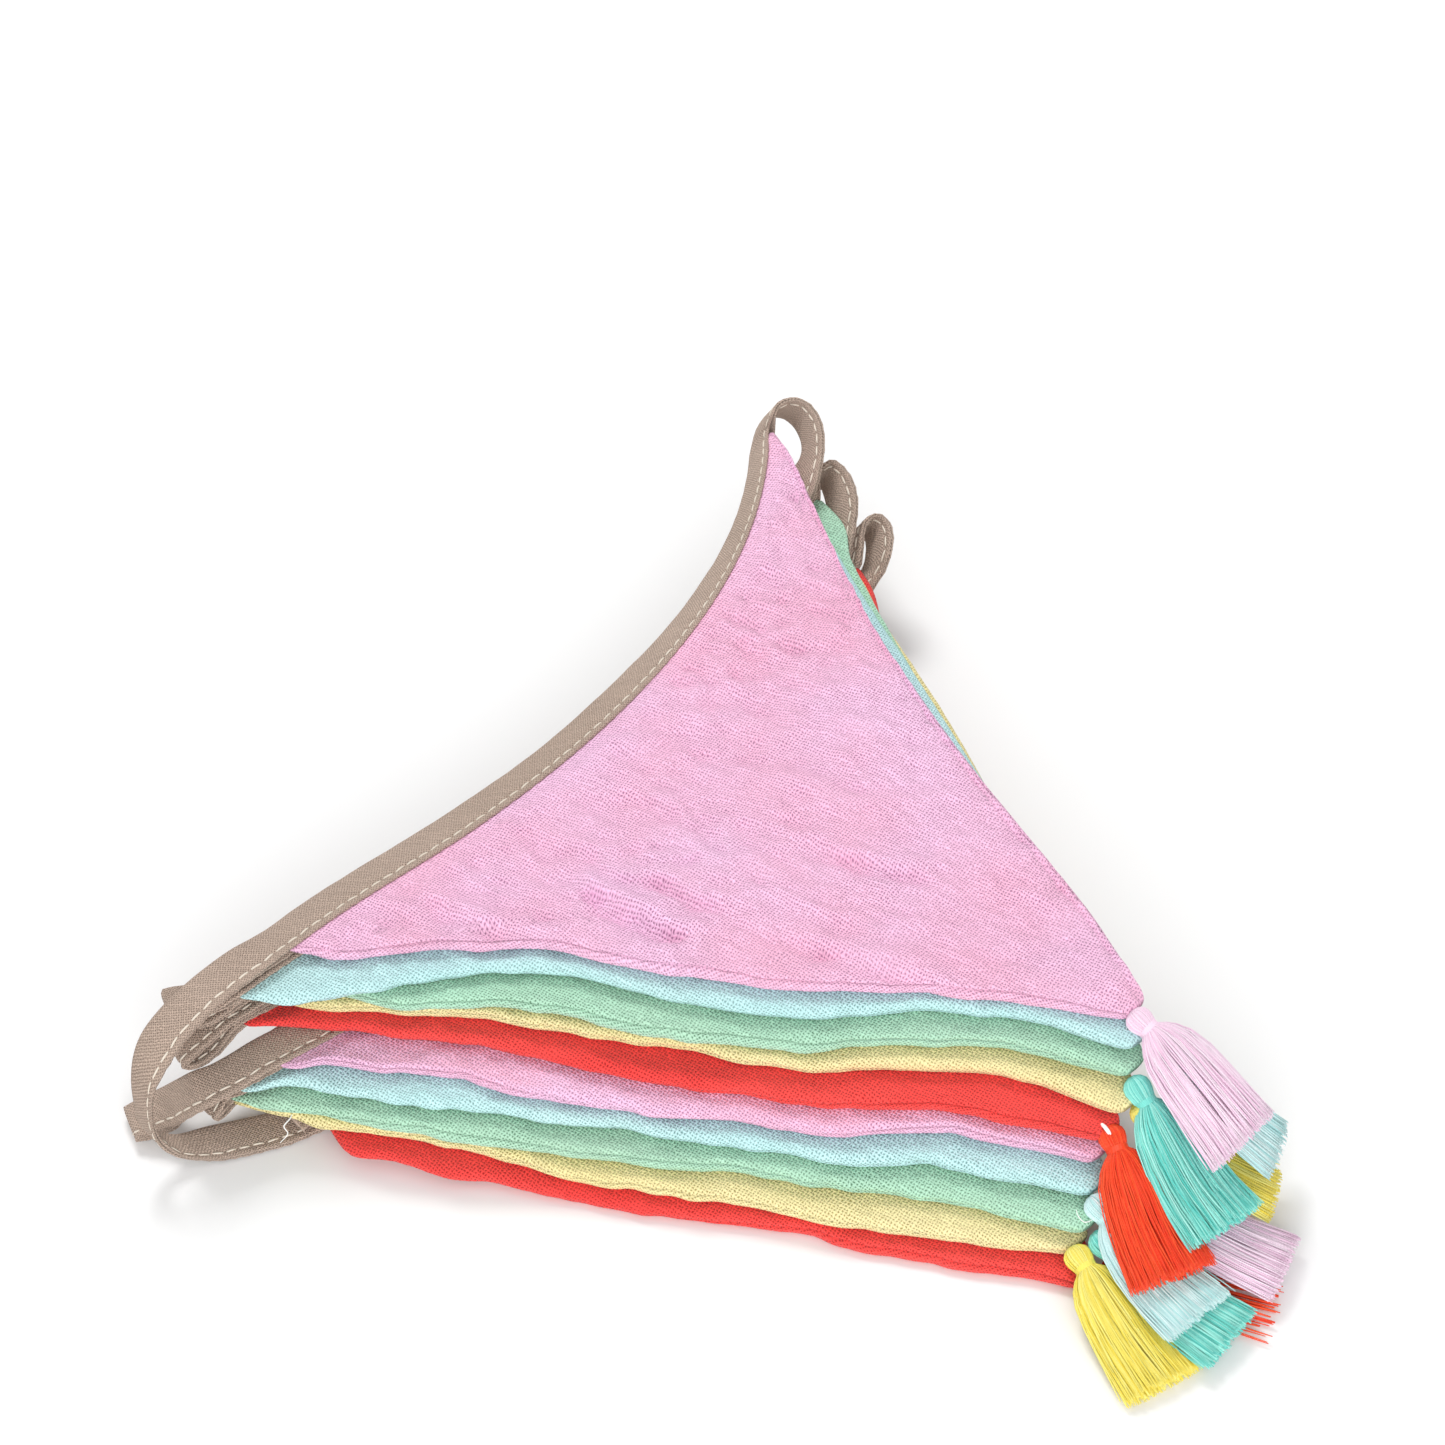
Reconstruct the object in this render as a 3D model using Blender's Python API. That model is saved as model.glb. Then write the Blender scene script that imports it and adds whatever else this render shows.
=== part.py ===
"""Fabric garland of ten pennants with tassels, folded back and forth into a flat stack.

One long tape binds an edge of each triangular pennant. The pennants lie on each other,
and the tape between them turns in loops at the far corner and in flat bends at the near
left corner. A tassel hangs at each free tip. The stack rests on z = 0.
Tables are in millimetres, measured from the point that the stack is laid out around.
"""
import math
from collections import namedtuple

import bmesh
import bpy
from mathutils import Vector

MM = 0.001
CENTRE = Vector((-4.9, -56.8, 0.0))

CLOTH_THICK = 3.3
CLOTH_IN_SLOT = 0.9
SLOT_REACH = 7.0
SLOT_LEAD = 0.5
LAYER_PITCH_AT_TAPE = 3.3
LAYER_PITCH_INSIDE = 4.1
LAYER_AIR = 0.65
LOWEST_MID = CLOTH_THICK / 2

TAPE_WIDE = 9.5
TAPE_THICK_ON_CLOTH = 2.7
TAPE_THICK_FREE = 1.6
TAPE_WALL = 0.6
SLOT_DEEP = 7.4
SLOT_FREE_DEEP = 0.4
FOLD_ROUND = 0.35
SLOT_OVERRUN = 1.0

EDGE_ARC_CENTRE = (-227, 102)
EDGE_ARC_RADIUS = 242

EDGE_STEPS = 8
CLOTH_ROWS = (0.05, 0.12, 0.21, 0.32, 0.44, 0.56, 0.68, 0.79, 0.89, 0.955, 0.985)
LIP = 1.0
SLOT_RIM = 0.4

STRANDS_ACROSS = 8
STRAND_LAYERS = 2
STRAND_STEPS = (0.52, 0.76, 1.0)
HEAD_PROFILE = ((0.0, 1.0), (0.035, 3.6), (0.10, 5.6), (0.17, 5.0), (0.215, 3.4))
HEAD_FLAT = 0.72
COLLAR_AT = 0.27
COLLAR_WIDE = 5.0
TIP_GAP = 0.5

PINK = (0.83, 0.36, 0.62)
LIGHT_PINK = (0.86, 0.55, 0.68)
LIGHT_AQUA = (0.58, 0.80, 0.80)
TEAL = (0.10, 0.48, 0.46)
BRIGHT_YELLOW = (0.88, 0.70, 0.12)
ORANGE_RED = (0.80, 0.10, 0.04)
AQUA = (0.46, 0.80, 0.80)
GREEN = (0.36, 0.68, 0.45)
YELLOW = (0.85, 0.76, 0.40)
RED = (0.82, 0.09, 0.05)
TAN = (0.52, 0.38, 0.27)

Pennant = namedtuple("Pennant", "name colour near_left far tip front_left front_right "
                                "bound_bow bound_skew side_bow tilt_far tilt_from tilt_near")
FRONT_STATIONS = (-86, -63, -40, -17, 6, 30, 53, 76)
FRONT_FORWARD = (
    (1.5, 1.5, 3, 6, 2.5, 0.5, 3, 3),
    (1, -1, -3.5, -3, -4, -4.5, -3.5, -3.5),
    (-1.5, 3, 3, 3.5, 1, -1, 0, -0.5),
    (0.5, 2, 3, 1.5, 0.5, 0.5, 2, 0),
    (-1, 3, 4.5, 4, 2, 3, 4.5, 3.5),
    (-2, 1.5, 5.5, 4, -1, 1.5, 3, 0.5),
    (-2.5, 2.5, 2, -1.5, -2.5, 0.5, 2, 1),
    (0, 1, -0.5, -1, -3, -1, 0.5, 0),
    (0.5, -1, -0.5, 2, 2, 2, 1.5, 1),
    (7, 6.5, 2.5, 2.5, 2.5, 0.5, -1.5, -2.5),
)
PENNANTS = (
    Pennant("pennant_1", PINK, (-93, -99.5), (11.8, 65), (88.7, -115.5), 8.4, 3.3, 20.5, 20, 6, 40, 0.82, 0),
    Pennant("pennant_2", AQUA, (-103.5, -109.5), (21, 43.5), (84, -123.5), 9, 5, 13, 12, 0, 12, 0.9, 0),
    Pennant("pennant_3", GREEN, (-102, -107), (22.5, 49.5), (87, -127.5), 6, 5, 13, 6, 2, 35, 0.75, 0),
    Pennant("pennant_4", YELLOW, (-97, -104.5), (30.5, 32), (82, -131.5), 4, 6, 12, 0, 2, 12, 0.9, 0),
    Pennant("pennant_5", RED, (-103.5, -109), (33, 33), (80, -135.5), 6, 4.5, 10, 0, 2, 9, 0.85, 0),
    Pennant("pennant_6", PINK, (-95.5, -117.5), (35.3, 27), (77.5, -142), 6, 7, 12, 0, 0, 5, 0.85, 0),
    Pennant("pennant_7", AQUA, (-104, -121.5), (32, 26.5), (76.5, -147.5), 4.3, 5.3, 11, 8, 0, 2, 0.85, 10),
    Pennant("pennant_8", GREEN, (-106, -121.5), (31, 25), (75, -153.5), 0, 4, 10, 8, 0, 0, 1, 16),
    Pennant("pennant_9", YELLOW, (-106, -120), (28, 24), (72.5, -155), -2, 0, 10, 8, 0, 0, 1, 16),
    Pennant("pennant_10", RED, (-88, -121), (27, 22), (74.5, -161), -2, -3, 8, 0, 0, 0, 1, 0),
)

Pair = namedtuple("Pair", "open_x open_y open_z fold_x fold_y fold_z")
TIE = tuple(Pair(*row) for row in (
    (-71, -110, 1.2, -76.5, -102, 1.2),
    (-79, -115.5, 1.2, -84.5, -107.5, 1.2),
    (-88, -121, 1.2, -92.5, -112.5, 1.3),
    (-94, -124, 1.2, -98, -115.5, 1.4),
    (-99.5, -126, 1.2, -104, -117.5, 1.8),
    (-105, -127.5, 1.3, -111, -120.8, 3.4),
    (-111, -128.6, 1.8, -118, -125.4, 6.6),
    (-116, -129.4, 3.8, -122, -126.4, 10),
    (-119.5, -129.4, 7.6, -124.8, -126.8, 15),
    (-121, -129, 12.4, -125, -126.4, 20.5),
    (-121, -128.6, 18.2, -125.2, -124.4, 25.6),
    (-120.2, -127.2, 23.8, -124.6, -121.2, 29.8),
    (-117.2, -124, 28.6, -123, -117.4, 32.2),
    (-113.5, -119.6, 32, -119.9, -112.8, 33.6),
    (-108.5, -114.4, 34.4, -115.6, -108, 35),
    (-103.3, -109.2, 35.7, -110, -102.4, 35.9),
    (-98.2, -104.4, 36.1, -104.8, -97.6, 36),
))
LOOP_PINK_AQUA = tuple(Pair(*row) for row in (
    (12.6, 68.5, 35.6, 8.8, 71.8, 27.6),
    (14, 71, 36.8, 11.5, 75, 28.4),
    (17, 72.3, 37.2, 14.5, 74.8, 28.4),
    (20.2, 71, 37.3, 17, 72.2, 28.5),
    (22.6, 67.5, 37.2, 18.8, 68, 28.5),
    (24, 62.5, 36.9, 19.5, 63.3, 28.6),
    (24.3, 57.5, 36, 18.8, 59.5, 28.6),
    (23.8, 52.5, 34.2, 17, 56, 28.8),
    (22.8, 48, 32, 15, 52.5, 29),
))
LOOP_GREEN_YELLOW = tuple(Pair(*row) for row in (
    (23.2, 53.5, 28.3, 19.5, 55.5, 19.8),
    (24.4, 57, 29.6, 22.5, 58.5, 20.4),
    (26.4, 58.3, 30, 24.6, 58.6, 20.7),
    (28.6, 56.6, 30.2, 25.8, 56, 21.1),
    (30.6, 53.2, 30.2, 26.8, 52, 21.6),
    (32, 49, 29.8, 27.4, 47.6, 21.6),
    (32.4, 44.8, 28.6, 26.6, 43.8, 21.2),
    (31.9, 40.5, 26.6, 24.6, 41, 20.8),
    (31.2, 36, 24.6, 22.8, 39.2, 21.8),
))
LOOP_RED_PINK = tuple(Pair(*row) for row in (
    (33.6, 36.5, 22.6, 26.5, 39.5, 17.4),
    (34, 40.5, 24.2, 29.2, 43.5, 16.6),
    (35, 43.6, 24.6, 32.5, 46.5, 15.9),
    (37, 45.2, 24.7, 35.2, 46.5, 15.4),
    (39.2, 44, 24.6, 36.6, 43.8, 15.4),
    (40.7, 40, 24.2, 37, 39.4, 15.4),
    (40.4, 35.5, 22.8, 35.6, 36.2, 14.6),
    (39, 31.5, 20.4, 32.6, 34.8, 14.6),
    (37.2, 29.3, 18, 29.6, 34, 15.4),
))
LONG_BEND = tuple(Pair(*row) for row in (
    (-103.5, -122.8, 18.8, -106.5, -114, 19.3),
    (-107.5, -124.6, 17.6, -110.2, -115.6, 18.2),
    (-111, -125.4, 15, -114, -116.6, 15.9),
    (-115, -124.6, 10.2, -117.5, -115.6, 11.6),
    (-119.3, -123.4, 5.6, -122.2, -114.4, 6.6),
    (-124.5, -123.6, 3.8, -128, -114.8, 4.2),
    (-126.5, -124, 2.5, -130.2, -115.2, 2.8),
    (-124.5, -122.6, 1.2, -128, -113.8, 1.4),
    (-119.5, -121, 2, -122.3, -112, 2.8),
    (-114.8, -120.8, 8, -118.2, -112, 8.4),
    (-111, -121.6, 12.2, -115, -113, 11.8),
    (-107.6, -122.2, 15.1, -112.4, -114, 14.1),
))

BEND_AQUA_GREEN = tuple(Pair(*row) for row in (
    (-107, -111.5, 32.2, -112, -103.4, 31.8),
    (-111, -112, 31, -115, -103.4, 30.6),
    (-115, -111.5, 29.4, -118.5, -102.7, 29),
    (-117.3, -111, 27.6, -120.6, -102.1, 27.2),
    (-115.2, -111.2, 25.9, -118.4, -102.3, 25.6),
    (-111, -111.5, 26.4, -114.8, -102.8, 26.1),
    (-106.5, -110, 28, -111.6, -102, 27.7),
))
BEND_YELLOW_RED = tuple(Pair(*row) for row in (
    (-101, -107.5, 26, -106.2, -99.5, 25.8),
    (-105, -110.4, 25.6, -110, -102.3, 25.4),
    (-109, -113.3, 23.8, -113.6, -105, 23.8),
    (-112.6, -116, 22, -117, -107.6, 22.2),
    (-115, -117.6, 20.2, -119.2, -109.2, 20.4),
    (-112.6, -116.4, 18.6, -117, -108, 18.9),
    (-109, -114.2, 19.6, -113.6, -106, 19.8),
))
BEND_GREEN_YELLOW = tuple(Pair(*row) for row in (
    (-107.6, -122.8, 11.4, -112.8, -116, 8.8),
    (-108.7, -123.2, 9.5, -113.8, -116.2, 6.8),
    (-107.8, -121.6, 7.9, -113.2, -114.8, 5.2),
))

FlatBend = namedtuple("FlatBend", "way_x way_y reach droop")
HIDDEN_BEND = FlatBend(-0.60, 0.80, 18, 0)
BEND_ROWS = ((0.4, 0.0), (0.8, 0.0), (0.97, 0.2), (1.05, 0.5), (0.97, 0.8), (0.8, 1.0), (0.4, 1.0))
LAST_END_REACH = 3

Tassel = namedtuple("Tassel", "name colour end_x end_y z_start z_third z_two_thirds z_end wide thick")
TASSELS = (
    Tassel("tassel_1", LIGHT_PINK, 110, -138, 38.2, 35, 28.6, 21.5, 17, 3.0),
    Tassel("tassel_2", LIGHT_AQUA, 118, -131, 35, 29.8, 19.5, 11.5, 17, 2.8),
    Tassel("tassel_3", TEAL, 107, -154, 29.6, 23, 15.4, 12, 17, 2.8),
    Tassel("tassel_4", BRIGHT_YELLOW, 115, -137, 26.3, 17.4, 10, 5, 17, 2.8),
    Tassel("tassel_5", ORANGE_RED, 95, -165, 21.8, 17.4, 12, 10, 17, 2.2),
    Tassel("tassel_6", LIGHT_PINK, 119, -158.5, 17.6, 10.2, 6, 4, 16, 2.2),
    Tassel("tassel_7", LIGHT_AQUA, 99, -172, 13.6, 9.9, 6.9, 6.3, 17, 2.2),
    Tassel("tassel_8", TEAL, 106, -176, 9.3, 5, 3.8, 3.7, 17, 2.2),
    Tassel("tassel_9", BRIGHT_YELLOW, 92, -186, 6, 4.9, 1.6, 1.3, 17, 2.2),
    Tassel("tassel_10", ORANGE_RED, 114, -167, 2.1, 1.9, 1.25, 1.25, 17, 2.2),
)


def smooth_step(amount):
    amount = min(1.0, max(0.0, amount))
    return amount * amount * (3 - 2 * amount)


def mix(start, end, amount):
    return start + (end - start) * amount


def inside_distance(x, y):
    """Distance from the line of the bound edges, towards the free tips."""
    return (x + 100) * 0.75 - (y + 108) * 0.66


def pitch_at(x, y):
    grow = smooth_step(inside_distance(x, y) / 67)
    return mix(LAYER_PITCH_AT_TAPE, LAYER_PITCH_INSIDE, grow)


def lift_over_tie(x, y):
    """The near left corner lies on the tie, which is folded back under it."""
    return 2.9 * (1 - smooth_step((math.hypot(x + 88, y + 114) - 18) / 46))


def lift_by_bends(x, y):
    """Extra air above the lowest layer where the tapes crowd together."""
    return 1.6 * (1 - smooth_step((inside_distance(x, y) + 3) / 33))


def fall_at_edge(x, y):
    """The bound edges sag outwards in the middle of the far side."""
    outside = EDGE_ARC_RADIUS - math.hypot(x - EDGE_ARC_CENTRE[0], y - EDGE_ARC_CENTRE[1])
    return 2.6 * smooth_step((outside + 3) / 16) * smooth_step((y + 75) / 50)


def sway(x, y):
    """Broad hollows of the stack, full at the top layer and gone at the floor."""
    return 0.9 * math.sin(x / 31.0 + 0.6) * math.cos(y / 37.0 + 0.4)


def mid_height(layer, x, y):
    level = 10 - layer
    height = LOWEST_MID + lift_over_tie(x, y) + level * pitch_at(x, y)
    if level:
        height += lift_by_bends(x, y) + (sway(x, y) - fall_at_edge(x, y)) * level / 9
    return height


def unit(x, y):
    return Vector((x, y, 0)).normalized()


def bound_edge(layer, along):
    """Place and inward direction of a pennant's bound edge, 0 at the near left corner."""
    row = PENNANTS[layer - 1]
    start = Vector((*row.near_left, 0))
    run = Vector((*row.far, 0)) - start
    inward = unit(run.y, -run.x)
    shape = 4 * along * (1 - along)
    bow = shape * (row.bound_bow + row.bound_skew * (along - 0.5))
    slope = 4 * (1 - 2 * along) * (row.bound_bow + row.bound_skew * (along - 0.5)) + shape * row.bound_skew
    place = start + run * along + inward * bow
    travel = run + inward * slope
    across = unit(travel.y, -travel.x)
    place.z = mid_height(layer, place.x, place.y)
    outer = place - across * TAPE_WIDE
    across.z = (place.z - mid_height(layer, outer.x, outer.y)) / TAPE_WIDE
    across.normalize()
    tilt = row.tilt_far * smooth_step((along - row.tilt_from) / max(0.02, (1 - row.tilt_from) * 0.75))
    tilt += row.tilt_near * smooth_step(1 - along / 0.14)
    tilt = math.radians(tilt)
    across = across * math.cos(tilt) + Vector((0, 0, 1)) * math.sin(tilt)
    return place, across.normalized()


def lobe(along, middle, half):
    if abs(along - middle) >= half:
        return 0.0
    return math.cos(math.pi * (along - middle) / (2 * half)) ** 2


def front_forward(layer, x, along, towards_tip):
    """How far a pennant's front edge lies forward of its plain line, fading into the cloth."""
    values = FRONT_FORWARD[layer - 1]
    spot = min(len(values) - 1.001, max(0.0, (x - FRONT_STATIONS[0]) / (FRONT_STATIONS[1] - FRONT_STATIONS[0])))
    number = int(spot)
    forward = mix(values[number], values[number + 1], smooth_step(spot - number))
    ends = smooth_step(towards_tip / 0.05) * (1 - smooth_step((towards_tip - 0.85) / 0.13))
    return forward * ends * math.exp(-along * (1 - towards_tip) * 6.5)


def cloth_point(layer, along, towards_tip):
    """A point of a pennant's middle surface, between its bound edge and its tip."""
    row = PENNANTS[layer - 1]
    edge, _ = bound_edge(layer, along)
    tip = Vector((*row.tip, 0))
    place = edge.lerp(tip, towards_tip)
    front = row.front_left * lobe(towards_tip, 0.3, 0.3) + row.front_right * lobe(towards_tip, 0.8, 0.2)
    side = row.side_bow * math.sin(math.pi * min(1.0, towards_tip * 1.15)) ** 1.5
    place.y += front * (1 - along) - front_forward(layer, place.x, along, towards_tip)
    place.x -= side * along
    place.z = mid_height(layer, place.x, place.y)
    return place


def cloth_thickness(place, towards_tip):
    full = min(CLOTH_THICK, pitch_at(place.x, place.y) - LAYER_AIR)
    return mix(CLOTH_IN_SLOT + 0.6, full, smooth_step(towards_tip / 0.14))


def make_material(name, colour, roughness):
    material = bpy.data.materials.new(name)
    material.use_nodes = True
    shader = material.node_tree.nodes["Principled BSDF"]
    shader.inputs["Base Color"].default_value = (*colour, 1)
    shader.inputs["Roughness"].default_value = roughness
    shader.inputs["Metallic"].default_value = 0.0
    return material


def add_object(name, mesh_data, colour, roughness):
    bmesh.ops.recalc_face_normals(mesh_data, faces=mesh_data.faces)
    if mesh_data.calc_volume(signed=True) < 0:
        bmesh.ops.reverse_faces(mesh_data, faces=mesh_data.faces)
    mesh = bpy.data.meshes.new(name)
    mesh_data.to_mesh(mesh)
    mesh_data.free()
    mesh.materials.append(make_material(name + "_finish", colour, roughness))
    mesh.shade_smooth()
    mesh.set_sharp_from_angle(angle=math.radians(40))
    thing = bpy.data.objects.new(name, mesh)
    bpy.context.scene.collection.objects.link(thing)
    return thing


def add_split_quad(shape, corners, from_second):
    """Two triangles, split from the first corner or the second, so that walls stay parallel."""
    first, second, third, fourth = corners
    if from_second:
        shape.faces.new((first, second, fourth))
        shape.faces.new((second, third, fourth))
    else:
        shape.faces.new((first, second, third))
        shape.faces.new((first, third, fourth))


def to_part(point):
    return (point - CENTRE) * MM


def edge_samples(layer):
    """The bound edge at its stations, with the cloth's two ends held inside the slot."""
    stations = [bound_edge(layer, step / EDGE_STEPS) for step in range(EDGE_STEPS + 1)]
    samples = list(stations)
    for end, inner in ((0, 1), (EDGE_STEPS, EDGE_STEPS - 1)):
        place = stations[end][0].lerp(stations[inner][0], 0.05)
        across = stations[end][1].lerp(stations[inner][1], 0.05)
        samples[end] = (place, across)
    return samples


def pennant_rows(layer):
    """Rows of middle points with half thickness, from deep in the slot to the tip."""
    samples = edge_samples(layer)
    rows = []
    for depth in (SLOT_REACH, -SLOT_LEAD):
        rows.append([(place - across * depth, across, CLOTH_IN_SLOT / 2) for place, across in samples])
    for towards_tip in CLOTH_ROWS:
        row = []
        for step in range(EDGE_STEPS + 1):
            along = mix(0.006, 0.994, step / EDGE_STEPS)
            place = cloth_point(layer, along, towards_tip)
            row.append((place, None, cloth_thickness(place, towards_tip) / 2))
        rows.append(row)
    return rows


def make_pennant(layer):
    """Two panels turned out: a closed body with a soft lip along its free edges."""
    row = PENNANTS[layer - 1]
    shape = bmesh.new()
    tops = []
    bottoms = []
    rims = []
    rows = pennant_rows(layer)
    for points in rows:
        top = []
        bottom = []
        spread = (points[EDGE_STEPS][0] - points[0][0]).length
        centre = (points[EDGE_STEPS][0] + points[0][0]) / 2
        in_slot = points[0][1] is not None
        drawn_in = 1 if in_slot else 1 - 2 * min(LIP / spread, 0.15)
        rim_out = 1 + SLOT_RIM / spread if in_slot else 1
        for step, (place, across, half) in enumerate(points):
            thick_way = Vector((0, 0, 1))
            if across is not None:
                travel = points[min(step + 1, EDGE_STEPS)][0] - points[max(step - 1, 0)][0]
                thick_way = across.cross(travel).normalized()
                if thick_way.z < 0:
                    thick_way = -thick_way
            held = centre + (place - centre) * drawn_in
            top.append(shape.verts.new(to_part(held + thick_way * half)))
            bottom.append(shape.verts.new(to_part(held - thick_way * half)))
        tops.append(top)
        bottoms.append(bottom)
        rims.append([shape.verts.new(to_part(centre + (points[end][0] - centre) * rim_out))
                     for end in (0, EDGE_STEPS)])
    for number in range(len(rows) - 1):
        for step in range(EDGE_STEPS):
            add_split_quad(shape, (tops[number][step], tops[number][step + 1],
                                   tops[number + 1][step + 1], tops[number + 1][step]), False)
            add_split_quad(shape, (bottoms[number][step], bottoms[number + 1][step],
                                   bottoms[number + 1][step + 1], bottoms[number][step + 1]), False)
        for side, step in ((0, 0), (1, EDGE_STEPS)):
            near, far = rims[number][side], rims[number + 1][side]
            shape.faces.new((tops[number][step], tops[number + 1][step], far, near))
            shape.faces.new((bottoms[number][step], near, far, bottoms[number + 1][step]))
    for number in (0, len(rows) - 1):
        top, bottom, rim = tops[number], bottoms[number], rims[number]
        for step in range(EDGE_STEPS):
            shape.faces.new((top[step], bottom[step], bottom[step + 1], top[step + 1]))
        shape.faces.new((rim[0], bottom[0], top[0]))
        shape.faces.new((rim[1], top[-1], bottom[-1]))
    return add_object(row.name, shape, row.colour, 0.9)


Section = namedtuple("Section", "middle across half slot rising")


def cloth_sections(layer, from_near):
    """Tape sections that clasp a pennant's bound edge."""
    stations = [bound_edge(layer, step / EDGE_STEPS) for step in range(EDGE_STEPS + 1)]
    first = stations[0][0] + (stations[0][0] - stations[1][0]).normalized() * SLOT_OVERRUN
    last = stations[-1][0] + (stations[-1][0] - stations[-2][0]).normalized() * SLOT_OVERRUN
    stations = [(first, stations[0][1]), *stations, (last, stations[-1][1])]
    sections = [Section(place - across * TAPE_WIDE / 2, across, TAPE_THICK_ON_CLOTH / 2, SLOT_DEEP, from_near)
                for place, across in stations]
    if not from_near:
        sections.reverse()
    return sections


def pair_sections(pairs):
    sections = []
    for pair in pairs:
        opened = Vector(pair[:3])
        folded = Vector(pair[3:])
        across = (opened - folded).normalized()
        sections.append(Section((opened + folded) / 2, across, TAPE_THICK_FREE / 2, SLOT_FREE_DEEP, True))
    return sections


def bend_sections(before, after, bend):
    """A flat bend that carries the tape from one layer to the next one down."""
    way = Vector((bend.way_x, bend.way_y, 0)).normalized()
    sections = []
    for reach, level in BEND_ROWS:
        middle = before.middle.lerp(after.middle, level) + way * bend.reach * reach
        middle.z -= bend.droop * reach
        across = before.across.lerp(after.across, level).normalized()
        sections.append(Section(middle, across, TAPE_THICK_FREE / 2, SLOT_FREE_DEEP, True))
    return sections


def curve_between(before, first, last, after, amount):
    """A point of a smooth curve through four neighbours, between the middle two."""
    square = amount * amount
    cube = square * amount
    return (first * 2 + (last - before) * amount
            + (before * 2 - first * 5 + last * 4 - after) * square
            + (first * 3 - before - last * 3 + after) * cube) / 2


def tape_sections():
    """All sections of the tape, from the tie's hidden end to the lowest layer's corner."""
    runs = [pair_sections(TIE)]
    turns = (LOOP_PINK_AQUA, BEND_AQUA_GREEN, LOOP_GREEN_YELLOW, BEND_YELLOW_RED, LOOP_RED_PINK,
             LONG_BEND, None, BEND_GREEN_YELLOW, None)
    for layer in range(1, 11):
        runs.append(cloth_sections(layer, layer % 2 == 1))
        if layer == 10:
            break
        turn = turns[layer - 1]
        if turn:
            runs.append(pair_sections(turn))
        else:
            following = cloth_sections(layer + 1, layer % 2 == 0)
            runs.append(bend_sections(runs[-1][-1], following[0], HIDDEN_BEND))
    end = runs[-1][-1]
    run_out = (end.middle - runs[-1][-3].middle).normalized() * LAST_END_REACH
    runs.append([Section(end.middle + run_out, end.across, TAPE_THICK_FREE / 2, SLOT_FREE_DEEP, True)])
    return [section for run in runs for section in run]


FOLD_FIRST_SIDES = (2, 6)
OPEN_FIRST_SIDES = (4, 8)


def make_tape():
    """The bias tape: one long folded strip with an open slot along its stitched edge."""
    sections = tape_sections()
    shape = bmesh.new()
    rings = []
    for number, section in enumerate(sections):
        before = sections[max(0, number - 1)].middle
        after = sections[min(len(sections) - 1, number + 1)].middle
        travel = (after - before).normalized()
        thick_way = travel.cross(section.across).normalized()
        half = section.half
        gap = half - TAPE_WALL if section.slot > 1 else half * 0.3
        reach = TAPE_WIDE / 2
        outline = ((-reach, -half + FOLD_ROUND), (-reach, half - FOLD_ROUND), (-reach + FOLD_ROUND, half),
                   (reach, half), (reach, gap), (reach - section.slot, gap),
                   (reach - section.slot, -gap), (reach, -gap), (reach, -half), (-reach + FOLD_ROUND, -half))
        rings.append([shape.verts.new(to_part(section.middle + section.across * wide + thick_way * deep))
                      for wide, deep in outline])
    for number, (near, far) in enumerate(zip(rings, rings[1:])):
        rising = sections[number].rising and sections[number + 1].rising
        for step in range(len(near)):
            following = (step + 1) % len(near)
            corners = (near[step], near[following], far[following], far[step])
            if step in FOLD_FIRST_SIDES:
                add_split_quad(shape, corners, not rising)
            elif step in OPEN_FIRST_SIDES:
                add_split_quad(shape, corners, rising)
            else:
                shape.faces.new(corners)
    shape.faces.new(rings[0])
    shape.faces.new(rings[-1])
    return add_object("bias_tape", shape, TAN, 0.85)


def rise_at(tassel, along):
    """Height along a tassel: one smooth curve through its four heights."""
    heights = (tassel.z_start, tassel.z_third, tassel.z_two_thirds, tassel.z_end)
    spot = min(2.999, max(0.0, along * 3))
    number = int(spot)
    before = heights[number - 1] if number else 2 * heights[0] - heights[1]
    after = heights[number + 2] if number < 2 else 2 * heights[3] - heights[2]
    return curve_between(before, heights[number], heights[number + 1], after, spot - number)


def tassel_frame(tassel, start, along):
    """Middle, sideways and upward directions of a tassel at a share of its length."""
    end = Vector((tassel.end_x, tassel.end_y, 0))
    plan = (end - start).normalized()
    middle = start.lerp(end, along)
    middle.z = rise_at(tassel, along)
    slope = (rise_at(tassel, along + 0.03) - rise_at(tassel, along - 0.03)) / 0.06
    travel = Vector((end.x - start.x, end.y - start.y, slope)).normalized()
    sideways = Vector((-plan.y, plan.x, 0))
    upward = travel.cross(sideways).normalized()
    if upward.z < 0:
        upward = -upward
    return middle, sideways, upward


def tassel_ring(shape, frame, wide, tall):
    middle, sideways, upward = frame
    corners = 8
    ring = []
    for step in range(corners):
        angle = math.tau * (step + 0.5) / corners
        ring.append(shape.verts.new(to_part(middle + sideways * math.cos(angle) * wide / 2
                                            + upward * math.sin(angle) * tall / 2)))
    return ring


def collar_grid(shape, frame, tall):
    """The flat lower face of the head, one cell for each strand."""
    middle, sideways, upward = frame
    grid = []
    for row in range(STRAND_LAYERS + 1):
        line = []
        for column in range(STRANDS_ACROSS + 1):
            across = (column / STRANDS_ACROSS - 0.5) * COLLAR_WIDE
            up = (row / STRAND_LAYERS - 0.5) * tall
            line.append(shape.verts.new(to_part(middle + sideways * across + upward * up)))
        grid.append(line)
    return grid


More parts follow.
